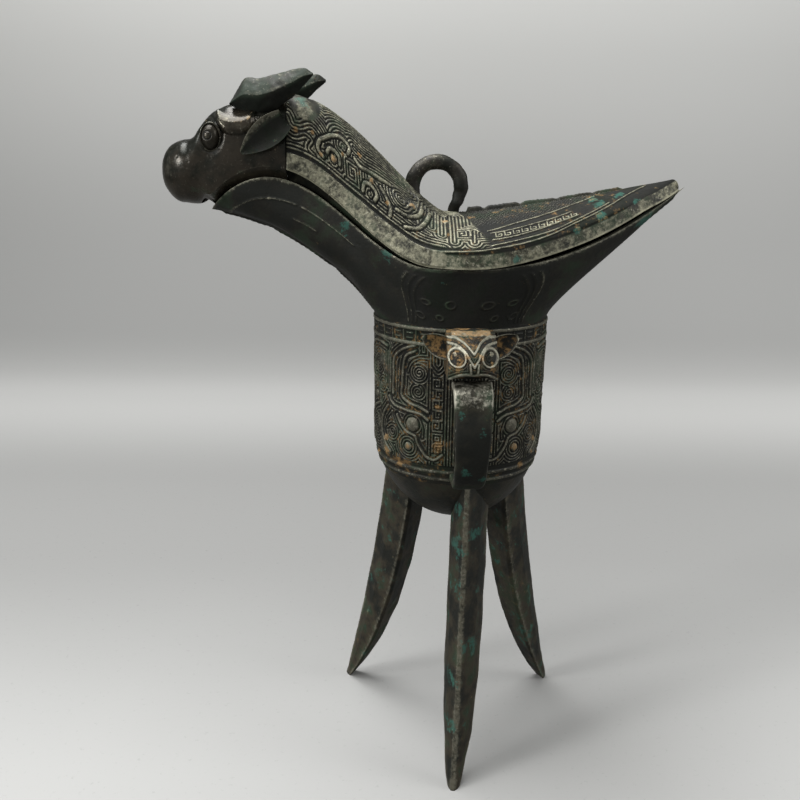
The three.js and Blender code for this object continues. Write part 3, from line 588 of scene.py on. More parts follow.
def bandRaster():
    # One quarter, from the handle's middle to the middle of the spout or tail side: u round the
    # wall, v the height. A column of squares, half a beast mask with a big eye, and its body.
    size = (49.0, wall["shoulder"] + 1 - bandStart[1])
    squares = [squareSpiral(8.6, z, 3.3, 1, hand) for z, hand in
               ((116.8, 1), (120.6, -1), (129.2, 1), (133.0, -1), (136.6, 1), (140.2, -1), (143.9, 1))]
    frames = [[(x, 115.4), (x, 156.4)] for x in (2.9, 5.9, 11.3)]
    frames.append(flowing((5.9, 150), (8.6, 147.4), (11.3, 150)))
    bold = [
        flowing((16.8, 156.6), (22.5, 154.3), (25.7, 151.5), (26.4, 144.7), (26.7, 138.2)),
        flowing((16.8, 154.6), (20.7, 152.4), (21.7, 149), (22.1, 143.1), (22.1, 138), (19.3, 136.3),
                (14.9, 135.3), (11.9, 133.9)),
        flowing((28.8, 136.9), (27.2, 134.9), (22.3, 133.7), (18.1, 133.3), (14.4, 132.8), (12, 131.2)),
        flowing((24.6, 131), (22.9, 128.3), (20.3, 126), (16.4, 124.5), (15.8, 122.8), (14.1, 120.1),
                (12.1, 117.9), (9.7, 117.2), (6.8, 119.2)),
        flowing((29.6, 133.2), (32.6, 129.5), (33.6, 124), (31.4, 119.4), (28.2, 116.6)),
        flowing((30, 154.4), (36, 155.2), (42.6, 153.6), (45.2, 148), (44.6, 142.4), (40.6, 139.8)),
        flowing((45.4, 116.4), (43.4, 121), (44.6, 126.4), (41, 130.6), (36.4, 132.6)),
    ]
    eyeAt, bossAt = (17.7, 128.9), (19.5, 120.7)
    line = squares + frames + [
        roundSpiral(15.4, 147.2, 3.15, 3.0, 0.6, 1), roundSpiral(15.8, 140.6, 2.1, 2.0, 2.0, -1),
        flowing((11.8, 152.4), (15.2, 152.2), (18.4, 150.2), (19.8, 147)),
        flowing((14.9, 130.6), (13.8, 127.8), (13.9, 124.6)), circle(*eyeAt, 3.3),
        circle(*bossAt, 2.3), circle(*bossAt, 3.4), roundSpiral(27, 124.4, 2.1, 2.0, 0.0, 1),
        roundSpiral(36.6, 147.4, 3.15, 3.0, 1.0, -1), roundSpiral(33.2, 140.4, 2.1, 2.0, 0.0, 1),
        squareSpiral(41.4, 146.4, 3.3, 1, 1), roundSpiral(38.6, 123.2, 3.15, 3.0, 0.0, -1),
        circle(38.4, 135.6, 2.2), [(46.9, 115.4), (46.9, 156.4)], [(29.6, 140), (29.6, 152.6)],
    ]
    boldGap = distanceTo(size, bold, 12.0, bandStart)
    lineGap = distanceTo(size, line, 12.0, bandStart)
    u = np.arange(boldGap.shape[1])[None, :] * rasterStep
    v = bandStart[1] + np.arange(boldGap.shape[0])[:, None] * rasterStep
    nested = contours(np.minimum(boldGap - 0.55, lineGap), 1.05, 0.44, 0.32) * 0.4
    nested = np.where(boldGap < 1.0, 0.0, nested)
    body = np.maximum(nested, ridge(boldGap, 0.42, 0.4) * 0.62)
    for (a, b), r, edge in ((eyeAt, 2.4, 0.4), (bossAt, 1.4, 0.3)):
        body = body * soft((np.hypot(u - a, v - b) - r) / edge)
    bosses = ((*eyeAt, 2.6, 1.15), (*bossAt, 1.5, 0.9), (38.4, 135.6, 1.4, 0.8), (30.9, 121.2, 1.0, 0.6))
    body = np.maximum(body, domes(u, v, bosses))
    body = body * soft((v - 115.0) / 0.4) * soft((156.8 - v) / 0.4)
    # The border above: two ledges with upright ticks and small bars between them.
    ticks = [[(x, 158.0), (x, 161.6)] for x in (1.2, 5.8, 10.5, 16.8, 21.8, 27, 32, 37.4, 42.4, 47)]
    bars = [[(x - 1.2, z), (x + 1.2, z)] for x in (3.5, 8.2, 13.7, 19.3, 24.4, 29.5, 34.7, 39.9, 44.7)
            for z in (158.9, 160.6)]
    tickGap = distanceTo(size, ticks + bars, 1.0, bandStart)
    body = np.maximum(body, ridge(tickGap, 0.22) * 0.35)
    ledges = sum(ridge(np.abs(v - z), 0.55, 0.4) for z in (109.75, 112.65, 157.2, 162.3))
    return np.maximum(body, ledges * 0.55 + 0 * u)


def fromHandle(angles):
    # Millimetres round the wall from the handle, folded so that each quarter is the same.
    away = np.abs((angles + 1.5 * np.pi) % (2 * np.pi) - np.pi) * wall["bowlRadius"]
    return np.where(away > wall["quarter"], 2 * wall["quarter"] - away, away)


wallAngles = around(wall["columns"]) + np.pi
bandOrnament = bandRaster()


def aroundAxis(radius, z, angles=wallAngles):
    return xyz(radius * np.cos(angles), radius * np.sin(angles), z)


def buildWall():
    # The bowl is half an ellipse; the band is the wall's radius plus the raster's height.
    t = np.linspace(0.02, math.acos((wall["bowlTop"] - wall["base"]) / wall["bowlDepth"]), 60)
    z = (wall["bowlTop"] - wall["bowlDepth"] * np.cos(t))[:, None]
    bowl = aroundAxis(wallRadius(z), z)[:, ::2]
    calm = soft((wall["base"] - bowl[..., 2:]) / 1.5)
    bowl = bowl + unit(bowl * (1, 1, 0)) * noiseOf(bowl, 7.0, 3)[..., None] * 0.12 * calm
    addPiece("bowlUnderside", bowl, "cup", ["cup_body"], bowlBronze, "bronze_dark", True, ("first",),
             relief=0.4)
    z = np.linspace(wall["base"], wall["shoulder"] + 0.3, wall["bandRows"])[:, None] + 0 * wallAngles
    u = fromHandle(wallAngles)[None, :] + 0 * z
    relief = readRaster(bandOrnament, u, z, bandStart)
    fade = soft((z - wall["base"]) / 0.5) * soft((wall["shoulder"] + 0.3 - z) / 0.3)
    skin = aroundAxis(wallRadius(z) + relief * fade, z)
    skin += aroundAxis(1.0, 0.0) * (noiseOf(skin, 5.0, 11) * 0.06 * fade)[..., None]
    inBand = soft((z - 114.6) / 0.4) * soft((157.4 - z) / 0.4)
    field = mix(np.clip(0.25 + relief, 0, 1), np.clip(relief / 0.42, 0, 1),
                np.maximum(inBand, soft((z - 157) / 0.5)))
    earth = patches(u, z, ((8.6, 121.5, 2.6), (30.9, 121.2, 1.3), (30.7, 116.4, 1.2), (19.5, 120.7, 1.4),
                           (8.6, 136, 1.5), (24, 112.6, 1.6), (40, 112.6, 2.0)))
    quarter = wall["columns"] // 4
    for k, name in enumerate(("bandNearLeft", "bandNearRight", "bandFarRight", "bandFarLeft")):
        columns = np.arange(k * quarter, (k + 1) * quarter + 1) % wall["columns"]
        addPiece(name, skin[:, columns], "cup", [], bandBronze, "bronze_dark",
                 relief=field[:, columns], earth=earth[:, columns])


def buildFlare():
    # The flare's curves, pushed out by the height of their ornament.
    angles = around(720) + np.pi
    t = np.linspace(0, 1, wall["flareRows"])
    skin = flarePoints(angles, t)
    skin[0] = aroundAxis(wall["radius"], wall["shoulder"] + 0.3, angles)
    # Hanging leaves by their distance from two leaning lines, and lines that follow the rim.
    x, up = skin[..., 0], skin[..., 2] - wall["shoulder"]
    below = rimHeight(x) - skin[..., 2]
    u = fromHandle(angles)[None, :] + 0 * up
    leaf = 19.5 - up * 0.55
    inLeaf = soft((leaf - u) / 0.4)
    sides = ridge(np.abs((u - leaf) % 1.5 - 0.75), 0.2)
    sides = sides * soft((leaf + 1.8 - u) / 0.3) * soft((u - leaf + 3.2) / 0.3)
    lines = sides * soft((up - 1.0) / 0.6) * soft((below - 2.2) / 1.0)
    dots = np.maximum.reduce([ridge(np.abs(np.hypot(u - a, up - b) - r), 0.25) for a, b, r in
                              ((13.5, 4.0, 1.1), (8.0, 3.4, 0.9), (4.6, 7.8, 1.2), (9.6, 8.6, 0.9))])
    spoutSide = soft((-x - 36) / 2) * soft((84.5 + x) / 2)
    rimLine = ridge(np.abs(below - 6.6), 0.25, 0.4) * spoutSide * (1 - ridge(np.abs(-x - 55.5), 0.6))
    second = ridge(np.abs(below - 11.6), 0.25, 0.4) * soft(-x - 49) * soft(58 + x)
    relief = np.maximum.reduce([lines, dots * inLeaf * 0.8, rimLine, second])
    height = relief * 0.28 + noiseOf(skin, 6.0, 21) * 0.1
    height *= soft(t / 0.04)[:, None] * soft((1 - t) / 0.02)[:, None]
    skin += outwards(skin, (0, 0, 190), True) * height[..., None]
    # The rim rounds over from the outside to the inside edge.
    inner = flarePoints(angles, [1.0], wall["thickness"])[0]
    turn = np.linspace(0, 1, 7)[1:, None, None]
    rim = mix(skin[-1], inner, turn)
    rim[..., 2] = rimHeight(rim[..., 0]) + 0.2 * np.sin(np.pi * turn[..., 0])
    whole = np.concatenate([skin, rim])
    worn = np.concatenate([soft((1.5 - below) / 1.4), np.ones(rim.shape[:2])])
    field = np.concatenate([np.clip(0.32 - 0.3 * inLeaf + relief * 0.6, 0, 1), np.ones(rim.shape[:2])])
    teal = patches(whole[..., 0], whole[..., 2], ((-26.5, 187, 3.4), (-40, 194, 3.0), (62, 196, 4.0)))
    addPiece("flareSkin", whole, "cup", [], flareBronze, "bronze_dark", True,
             relief=np.clip(field + worn * 0.6, 0, 1), teal=teal * 0.8)
    # The inside at half as many angles: the flare, the wall and the bowl, each one thickness in.
    angles = angles[::2]
    inside = flarePoints(angles, np.linspace(1, 0, 40), wall["thickness"])
    z = np.linspace(wall["shoulder"], wall["bowlTop"], 20)[1:, None]
    deep = np.linspace(1, 0.03, 24)[:, None] * np.pi / 2
    hollow = wall["bowlTop"] - (wall["bowlDepth"] - wall["thickness"]) * np.cos(deep)
    lining = np.concatenate([inside, aroundAxis(wallRadius(z) - wall["thickness"], z, angles),
                             aroundAxis((wall["bowlRadius"] - wall["thickness"]) * np.sin(deep), hollow,
                                        angles)])
    addPiece("cupLining", lining, "cup", [], innerBronze, "bronze_dark", True, ("last",), hollow=True)


keel = {"first": 0.06, "last": 0.97, "height": 0.8, "half": 0.7}


def buildKeels():
    # A thin uneven casting seam along the underside of the spout and of the tail.
    first, last = keel["first"], keel["last"]
    for name, angle in (("spoutKeel", np.pi), ("tailKeel", 0.0)):
        t = np.linspace(first, last, 160)
        line = flarePoints(np.array([angle]), t)[:, 0]
        along = unit(np.gradient(line, axis=0))
        down = np.cross(along, (0, 1, 0))
        down *= np.sign(-down[:, 2:3])
        worn = 1 - 0.5 * np.exp(-(((t * 22 + 1) % 7 - 3.5) / 0.6) ** 2) + 0.08 * np.sin(t * 260)
        proud = keel["height"] * worn * soft((t - first) / 0.03) * soft((last - t) / 0.03)
        outline = ((-1.2, -0.8), (-1.0, 0.1), (-0.55, 0.75), (0, 1.0), (0.55, 0.75), (1.0, 0.1),
                   (1.2, -0.8))
        points = np.stack([line + down * np.where(h > 0, h * proud, h)[:, None] + (0, w * keel["half"], 0)
                           for w, h in outline], 1)
        addPiece(name, points, "cup", [], flareBronze, "bronze_dark", True, bothEnds, relief=0.4)


buildWall()
print("wall made")
buildFlare()
buildKeels()
print("flare made")


# The lid's shell
lid = {
    "ridge": 198.5, "tailRise": 12.8, "neckRise": 38.5, "neckStart": 7.0, "neckCrest": 63.0, "seam": 59.5,
    "end": 74.0, "fascia": 5.2, "lean": 0.9, "gap": 0.3, "mouthGap": 3.2, "tailGap": 1.4,
    "thickness": 2.2, "lipReach": 19.0, "lipDrop": 3.6, "lipThickness": 1.6, "rows": 176,
}


def lidEdge(x):
    # The rim's height and the gap, which widens towards the mouth and over the tail's middle.
    spout = lid["mouthGap"] * ease(-x / 58)
    tail = lid["tailGap"] * ease(x / 34) * (1 - ease((x - 58) / 16))
    return rimHeight(x) + lid["gap"] + np.where(x < 0, spout, tail)


def lidRidge(x):
    # A power of a sine up the neck, and a slow rise towards the tail.
    along = np.clip((-x - lid["neckStart"]) / (lid["neckCrest"] - lid["neckStart"]), 0, 1)
    neck = lid["ridge"] + lid["neckRise"] * np.sin(np.pi / 2 * along) ** 1.3
    tail = lid["ridge"] + lid["tailRise"] * (np.abs(x) / mouth["tailReach"]) ** 1.25
    return np.where(x >= 0, tail, neck)


def archPoints(x, wide, foot, top, t):
    # A quarter of a superellipse from the foot to the ridge: pinched at the body, full at the neck.
    fullness = mix(1.45, 2.2, ease((-x - 8) / 34))[:, None]
    y = wide[:, None] * np.cos(t) ** (2 / fullness)
    return y, foot[:, None] + (top - foot)[:, None] * np.sin(t) ** (2 / fullness)


def lidSizes(x):
    # Edge, top, half width and height of the plain band, drawn in at the rounded tip.
    tip = np.sqrt(1 - np.clip((x - lid["end"] + 2.6) / 2.65, 0, 1) ** 2)
    edge = lidEdge(x)
    top = mix(edge + 1, lidRidge(x), tip)
    half = np.maximum(halfWidth(x) * tip, 0.5)
    return edge, top, half, np.minimum(lid["fascia"], (top - edge) * 0.45)


def lidOutline(x, rows):
    # One side, from the edge up the plain band and over the arch, evenly spaced.
    edge, top, half, fascia = lidSizes(x)
    t = np.linspace(0, np.pi / 2, 70)
    y, z = archPoints(x, np.maximum(half - lid["lean"], 0.4), edge + fascia, top, t)
    y[:, -1] = 0
    return evenly(np.concatenate([half[:, None], y], 1), np.concatenate([edge[:, None], z], 1), rows)


def lidRaster():
    # s runs from the head's seam down the neck and out to the tail; a runs up from the edge.
    size = (150.0, 41.0)
    bold = [
        flowing((14.2, 17.0), (17.2, 19.8), (22.3, 22), (24.8, 21), (24.3, 18.5)),
        flowing((14.2, 17.0), (12.3, 15), (11.8, 11.9), (14, 10.9)),
        flowing((15.5, 13.2), (16.4, 14.9), (18.4, 15.6), (20.6, 14.9), (21.0, 12.6)),
        flowing((27.2, 19.1), (29, 18.2), (33.9, 19.4), (37.1, 20.2), (41.7, 21.6)),
        flowing((38.3, 17.4), (40.5, 15.6), (42.5, 12.8), (42.2, 10.4)),
        flowing((44.7, 14.1), (48.8, 14.6), (52.6, 18.6), (53.8, 25.3)),
        flowing((47.9, 9.9), (52, 11.8), (55.0, 17.4), (56.3, 24)),
        flowing((31.1, 11.2), (31.9, 14.2), (34.6, 15.2), (37.0, 13.8), (36.2, 11.4)),
    ]
    line = [
        flowing((0, 17.6), (2.2, 14.4), (4.7, 14.6), (9.6, 17.2), (11.6, 16.2), (11.0, 13), (12.4, 11.2),
                (15.2, 11.6)),
        flowing((0, 13.0), (2.4, 12.0), (7.4, 14.2), (9.4, 13.5), (8.2, 10.0), (10.6, 9.2)),
        roundSpiral(22.4, 19.4, 1.6, 1.5, 0.4, 1), squareSpiral(26.2, 13.4, 5.9, 2, 1, 0.15),
        roundSpiral(18.3, 12.6, 1.2, 1.0, 2.0, -1), roundSpiral(34.2, 12.2, 1.2, 1.0, 1.0, 1),
        roundSpiral(46.2, 19.6, 2.3, 2.0, 0.5, -1),
        flowing((26.6, 22.6), (31, 22.4), (36, 24.2), (42, 26), (48, 28.4)),
        flowing((56.9, 15.7), (57.2, 28)), flowing((60.2, 12.8), (60.4, 28)),
        flowing((64.2, 9.5), (64.4, 30)), flowing((70.6, 9.5), (70.8, 16.4)),
        squareSpiral(67.4, 14.2, 4.2, 1, -1), squareSpiral(73.4, 13.2, 3.6, 1, 1),
    ]
    # The tail's meander: hooked bars between two pairs of lines.
    hook = np.array([(0, 13.8), (0, 11.6), (1.9, 11.6), (1.9, 12.8), (0.9, 12.8)])
    hooks = [hook + (s, 0) for s in np.arange(77.6, 104, 2.9)]
    tail = [
        flowing((60, 5.3), (79.5, 6.1), (95.7, 6.6), (106.3, 8.2), (117.6, 9.3), (127.6, 10.6),
                (133.6, 10.2)),
        flowing((69.5, 6.8), (80.8, 7.8), (99.2, 8.4), (107.8, 9.8), (118.1, 11.1)),
        flowing((76.4, 10.2), (85.2, 10.4), (92.8, 10.9), (99.7, 11.2), (106.1, 11.6)),
        flowing((76.1, 14.2), (85.7, 14.6), (91.1, 14.9), (97.7, 14.7), (104, 15.2)),
        flowing((75.1, 15.9), (82.7, 17.9), (89.4, 18.9), (97.5, 19.4), (108, 20.4), (114.1, 20.9)),
    ]
    border = flowing((0, 5.4), (10, 6.3), (22, 6.7), (33, 7.4), (45, 7.2), (54, 5.8), (60, 5.2))
    boldGap = distanceTo(size, bold, 14.0)
    lineGap = distanceTo(size, line, 14.0)
    tailGap = distanceTo(size, tail + hooks, 3.0)
    borderGap = distanceTo(size, [border], 20.0)
    u = np.arange(boldGap.shape[1])[None, :] * rasterStep
    v = np.arange(boldGap.shape[0])[:, None] * rasterStep
    borderAt = np.interp(u[0], border[:, 0], border[:, 1])[None, :]
    above = v - borderAt
    grooves = contours(np.minimum(lineGap, np.abs(borderGap - 2.0)), 1.18, 0.56, 0.34)
    nested = np.where(boldGap < 1.15, 0.0, grooves)
    neckBody = np.maximum(nested * 0.42, ridge(boldGap, 0.62, 0.45) * 0.7)
    onNeck = soft((above - 1.3) / 0.4) * soft((75.5 - 0.3 * (v - 12) - u) / 2.5)
    knob = soft((np.hypot((u - 6.0) / 6.4, (v - 25.4) / 7.2) - 0.9) / 0.1)
    neckBody = mix(0.3 + 0.25 * noiseOf(xyz(u, v, 0.0), 4.0, 7), neckBody, knob)
    bosses = ((18.3, 12.6, 1.3, 1.0), (34.3, 17.0, 1.2, 1.0), (50.3, 21, 1.2, 0.9), (61.9, 23.6, 1.3, 0.9))
    neckBody = np.maximum(neckBody, domes(u, v, bosses))
    # The tail's middle is a dark field of small raised grains.
    grains = np.sin(u * 3.9 + 1.3 * np.sin(v * 1.7)) * np.sin(v * 4.3 + 1.1 * np.sin(u * 1.3))
    grains = soft(grains * 1.6 - 0.3) * 0.3 * soft((v - 19.5 - soft((95 - u) / 20)) / 0.8)
    tailBody = np.maximum(ridge(tailGap, 0.26, 0.3) * 0.45, grains)
    borderLine = ridge(np.abs(above - 1.9), 0.3, 0.3) * 0.5 * soft(61 - u)
    plain = 0.42 * soft((0.45 - above) / 0.3) * soft((62 - u) / 2)
    tailBody = tailBody * soft(u - 58) * (1 - onNeck)
    return np.maximum.reduce([neckBody * onNeck, tailBody, borderLine, plain])


def buildLid():
    # Stations are evenly spaced along the lid's length, measured along its edge.
    fine = np.linspace(-lid["seam"], lid["end"], 3000)
    path = lengthsOf(np.stack([fine, lidEdge(fine)], 1))
    raster = lidRaster()
    for part, first, last, count in (("Neck", 0, 64, 400), ("Tail", 64, path[-1], 420)):
        s = np.linspace(first, last, count)[:, None]
        x = np.interp(s[:, 0], path, fine)
        ys, zs, a = lidOutline(x, lid["rows"])
        relief = readRaster(raster, s + 0 * a, a)
        # Comb ticks in a band under the ridge of the neck.
        top = a[:, -1:] - a
        ticks = soft(0.5 + 2 * np.sin(2 * np.pi * s / 1.1))
        comb = soft((2.9 - top) / 0.3) * soft((top - 0.8) / 0.3) * ticks * 0.4
        combLines = (ridge(np.abs(top - 3.4), 0.25) + ridge(np.abs(top - 0.4), 0.3)) * 0.45
        onNeck = soft((s - 22) / 2) * soft((56 - s) / 3)
        relief = mix(relief, np.maximum(comb, combLines), onNeck * soft((3.8 - top) / 0.2))
        fade = soft((s + 0.01) / 0.5) * soft((path[-1] - 2.0 - s) / 3.0)
        onTail = soft((s - 56) / 4)
        smooth = soft((5.0 - a) / 0.8) * onTail
        field = np.clip(relief / 0.42, 0, 1) * (0.8 + 0.2 * onTail) + smooth * 0.72
        field = np.clip(field + soft((0.9 - a) / 0.8) * 0.5, 0, 1)
        earth = patches(s, a, ((18.4, 12.9, 1.5), (34.4, 17, 1.3), (50.3, 21, 1.3), (61.9, 23.6, 1.4),
                               (3.4, 14, 1.2), (9.6, 16, 1.0), (13, 11, 1.0), (29, 22, 1.2), (22, 17, 0.8),
                               (41, 14, 0.8)))
        teal = patches(s, a, ((113, 18.6, 2.6), (114.6, 13.8, 3.0), (122.7, 13.5, 2.6), (114.5, 6.9, 2.6),
                              (104.8, 4.6, 2.0), (84.2, 1.5, 2.0), (5, 25, 3.0), (128, 5, 2.0)))
        for label, side in (("Near", -1), ("Far", 1)):
            skin = xyz(x[:, None], side * ys, zs)
            normal = outwards(skin, (10, 0, 190))
            normal[:, -1, 1] = 0
            lift = (relief + noiseOf(skin, 6.0, 31) * 0.08) * fade * soft((a - 0.2) / 0.5)
            addPiece("lid" + part + label, skin + normal * lift[..., None], "lid",
                     ["lid_shell"] if (side, first) == (-1, 0) else [], lidBronze, "bronze_dark",
                     relief=field, earth=earth, teal=teal * 0.9)


def buildLidLining():
    # The underside: the seat along the edge, the inner lip and the hollow.
    x = np.linspace(-lid["seam"], lid["end"] - 0.1, 150)
    edge, top, half, fascia = lidSizes(x)
    reach = np.clip((lid["lipReach"] - np.abs(x)) / 10, 0, 1)
    overNeck = (edge - rimHeight(x) - 0.45) * soft((-x - 15) / 6)
    drop = np.maximum.reduce([0.1 + 0 * x, lid["lipDrop"] * reach, overNeck])
    lipOut = np.maximum(half - lid["thickness"] - mix(0.6, 1.5, reach), half * 0.5)
    lipIn = np.maximum(lipOut - np.maximum(lid["lipThickness"] * reach, 0.2), half * 0.36)
    foot = mix(edge, edge + fascia, 0.6)
    under = np.maximum(top - lid["thickness"], foot + 0.3)
    y, z = archPoints(x, lipIn, foot, under, np.linspace(0, np.pi / 2, 22))
    y[:, -1] = 0
    sideY = np.concatenate([np.stack([half, lipOut, lipOut, lipIn], 1), y], 1)
    sideZ = np.concatenate([np.stack([edge, edge, edge - drop, edge - drop], 1), z], 1)
    allY = np.concatenate([-sideY, sideY[:, -2::-1]], 1)
    allZ = np.concatenate([sideZ, sideZ[:, -2::-1]], 1)
    addPiece("lidLining", xyz(x[:, None], allY, allZ), "lid", [], innerBronze, "bronze_dark", hollow=True)


spine = {"start": 1.0, "end": 54.9, "height": 1.9, "half": 1.1}


def buildSpine():
    # A low ridge along the tail, worn into steps, that fades towards the point.
    x = np.linspace(spine["start"], spine["end"], 260)
    part = (x - spine["start"]) / (spine["end"] - spine["start"])
    notch = 1 - 0.45 * np.exp(-(((part * 26) % 6 - 3) / 0.5) ** 2)
    height = spine["height"] * (1 - 0.55 * part) * notch * (0.92 + 0.08 * np.sin(np.floor(part * 4.3) * 2.1))
    height *= soft((x - spine["start"]) / 0.6) * soft((spine["end"] - x) / 2)
    height += 0.08 * np.sin(x * 3.1) * np.sin(x * 1.7)
    outline = ((-1.5, -1.3), (-1.1, 0.0), (-0.9, 0.6), (-0.6, 0.95), (0, 1.0), (0.6, 0.95), (0.9, 0.6),
               (1.1, 0.0), (1.5, -1.3))
    half = spine["half"] * (1 - 0.5 * part)
    points = np.stack([xyz(x, w * half, lidRidge(x) + np.where(h > 0, h * height, h))
                       for w, h in outline], 1)
    addPiece("tailRidge", points, "lid", ["tail_spine"], lidBronze, "bronze_dark", True, bothEnds,
             relief=0.4)


def barAlong(path, radius, cols=36):
    # A round bar along a path in the plane of x and z.
    along = unit(np.gradient(path, axis=0))
    out = np.stack([along[:, 1], -along[:, 0]], 1)
    a = around(cols)
    across = radius[:, None] * np.cos(a)
    return xyz(path[:, :1] + out[:, :1] * across, radius[:, None] * np.sin(a),
               path[:, 1:] + out[:, 1:] * across)


ring = {"radius": 8.4, "bar": 2.55, "centre": (-9.4, 206.9)}


def buildRing():
    # The bar's back end stands on the neck; its torn front end meets a slimmer, lumpy stem.
    a = np.radians(np.linspace(-12, 190, 150))
    arc = ring["radius"] * np.stack([np.cos(a), np.sin(a)], 1)
    torn = soft((0.25 - np.abs(a + 0.21)) / 0.25)
    size = np.concatenate([[0.75, 0.8], 1 - 0.12 * torn + 0.04 * np.sin(a * 5), [1]])
    path, s, length = smoothPath(np.concatenate([[(5.54, -12), (6.55, -5.9)], arc, [(-8.23, -12)]]), 220)
    path = path + ring["centre"]
    points = barAlong(path, ring["bar"] * np.interp(s, length, size))
    lumps = noiseOf(points, 1.8, 41) * 0.12 * (1 + 2 * soft((12 - s) / 5))[:, None]
    points += unit(points - xyz(path[:, 0], 0, path[:, 1])[:, None]) * lumps[..., None]
    # Painted highlight: the ring is made lighter towards its top.
    top = np.clip((points[..., 2] - 206) / 12, 0, 1)
    addPiece("liftingRing", points, "lid", ["ring_handle"], ringBronze, "bronze_dark", True, bothEnds,
             relief=0.4 + 0.4 * top)


buildLid()
buildLidLining()
buildSpine()
buildRing()
print("lid made")


# The beast's head
head = {"seam": -59.8, "snout": -103.65, "corner": -84.5, "top": 237.0, "inset": 2.6, "columns": 264,
        "rows": 230}
profile = {
    "top": ((-103.65, 212.0), (-103.3, 214.2), (-102.4, 216.6), (-100.6, 219.2), (-98.2, 220.8),
            (-95.5, 221.7), (-92.6, 222.3), (-91, 223.6), (-90, 225.3), (-88.5, 227.4), (-87, 229.1),
            (-85.3, 230.6), (-83, 231.8), (-80.6, 232.8), (-77, 233.7), (-73, 234.6), (-67, 236.0),
            (-59.8, 236.9)),
    "bottom": ((-103.65, 211.2), (-103.3, 208.4), (-102.8, 206.7), (-101.6, 204.6), (-98.6, 201.5),
               (-94.7, 200.6), (-90.7, 200.5), (-88.5, 201.2), (-86.5, 202.6), (-84.5, 204.4)),
    "half": ((-103.65, 0.8), (-103.3, 2.2), (-102.4, 4.3), (-100.6, 6.9), (-98.2, 9.0), (-95.5, 10.5),
             (-92, 11.4), (-88.1, 11.7), (-84.4, 12.2), (-78, 12.6), (-70, 12.6), (-59.8, 12.55)),
    "brow": ((-85.0, 229.4), (-84.1, 228.5), (-83, 227.2), (-81.9, 225.8), (-80.5, 224.2), (-79.1, 223.4),
             (-76.1, 223.0), (-72.3, 223.8), (-70, 225.4), (-68.6, 228.5)),
}
eye = {"x": -84.6, "y": 9.4, "z": 222.4, "half": (3.1, 3.3, 4.3)}


def headSkin(x, phi, inset=0.0):
    # A closed muzzle in front of the lip and an arch, open below, behind it.
    top = lineThrough(profile["top"], x)
    bottom = np.where(x < head["corner"], lineThrough(profile["bottom"], x), lidEdge(x))
    half = np.maximum(lineThrough(profile["half"], x) - inset, 0.02)
    opened = soft((x + 92) / 7.5)
    middle = mix((top + bottom) / 2, bottom, opened)
    a = np.pi * phi[None, :] * (1 - 0.5 * opened[:, None])
    power = 2 / 2.3
    y = half[:, None] * squared(np.sin(a), power)
    over = np.maximum(top - middle - inset, 0.02)[:, None] * np.maximum(np.cos(a), 0) ** power
    under = np.maximum(middle - bottom - inset, 0)[:, None] * np.maximum(-np.cos(a), 0) ** power
    return xyz(x[:, None], y, middle[:, None] + over - under)


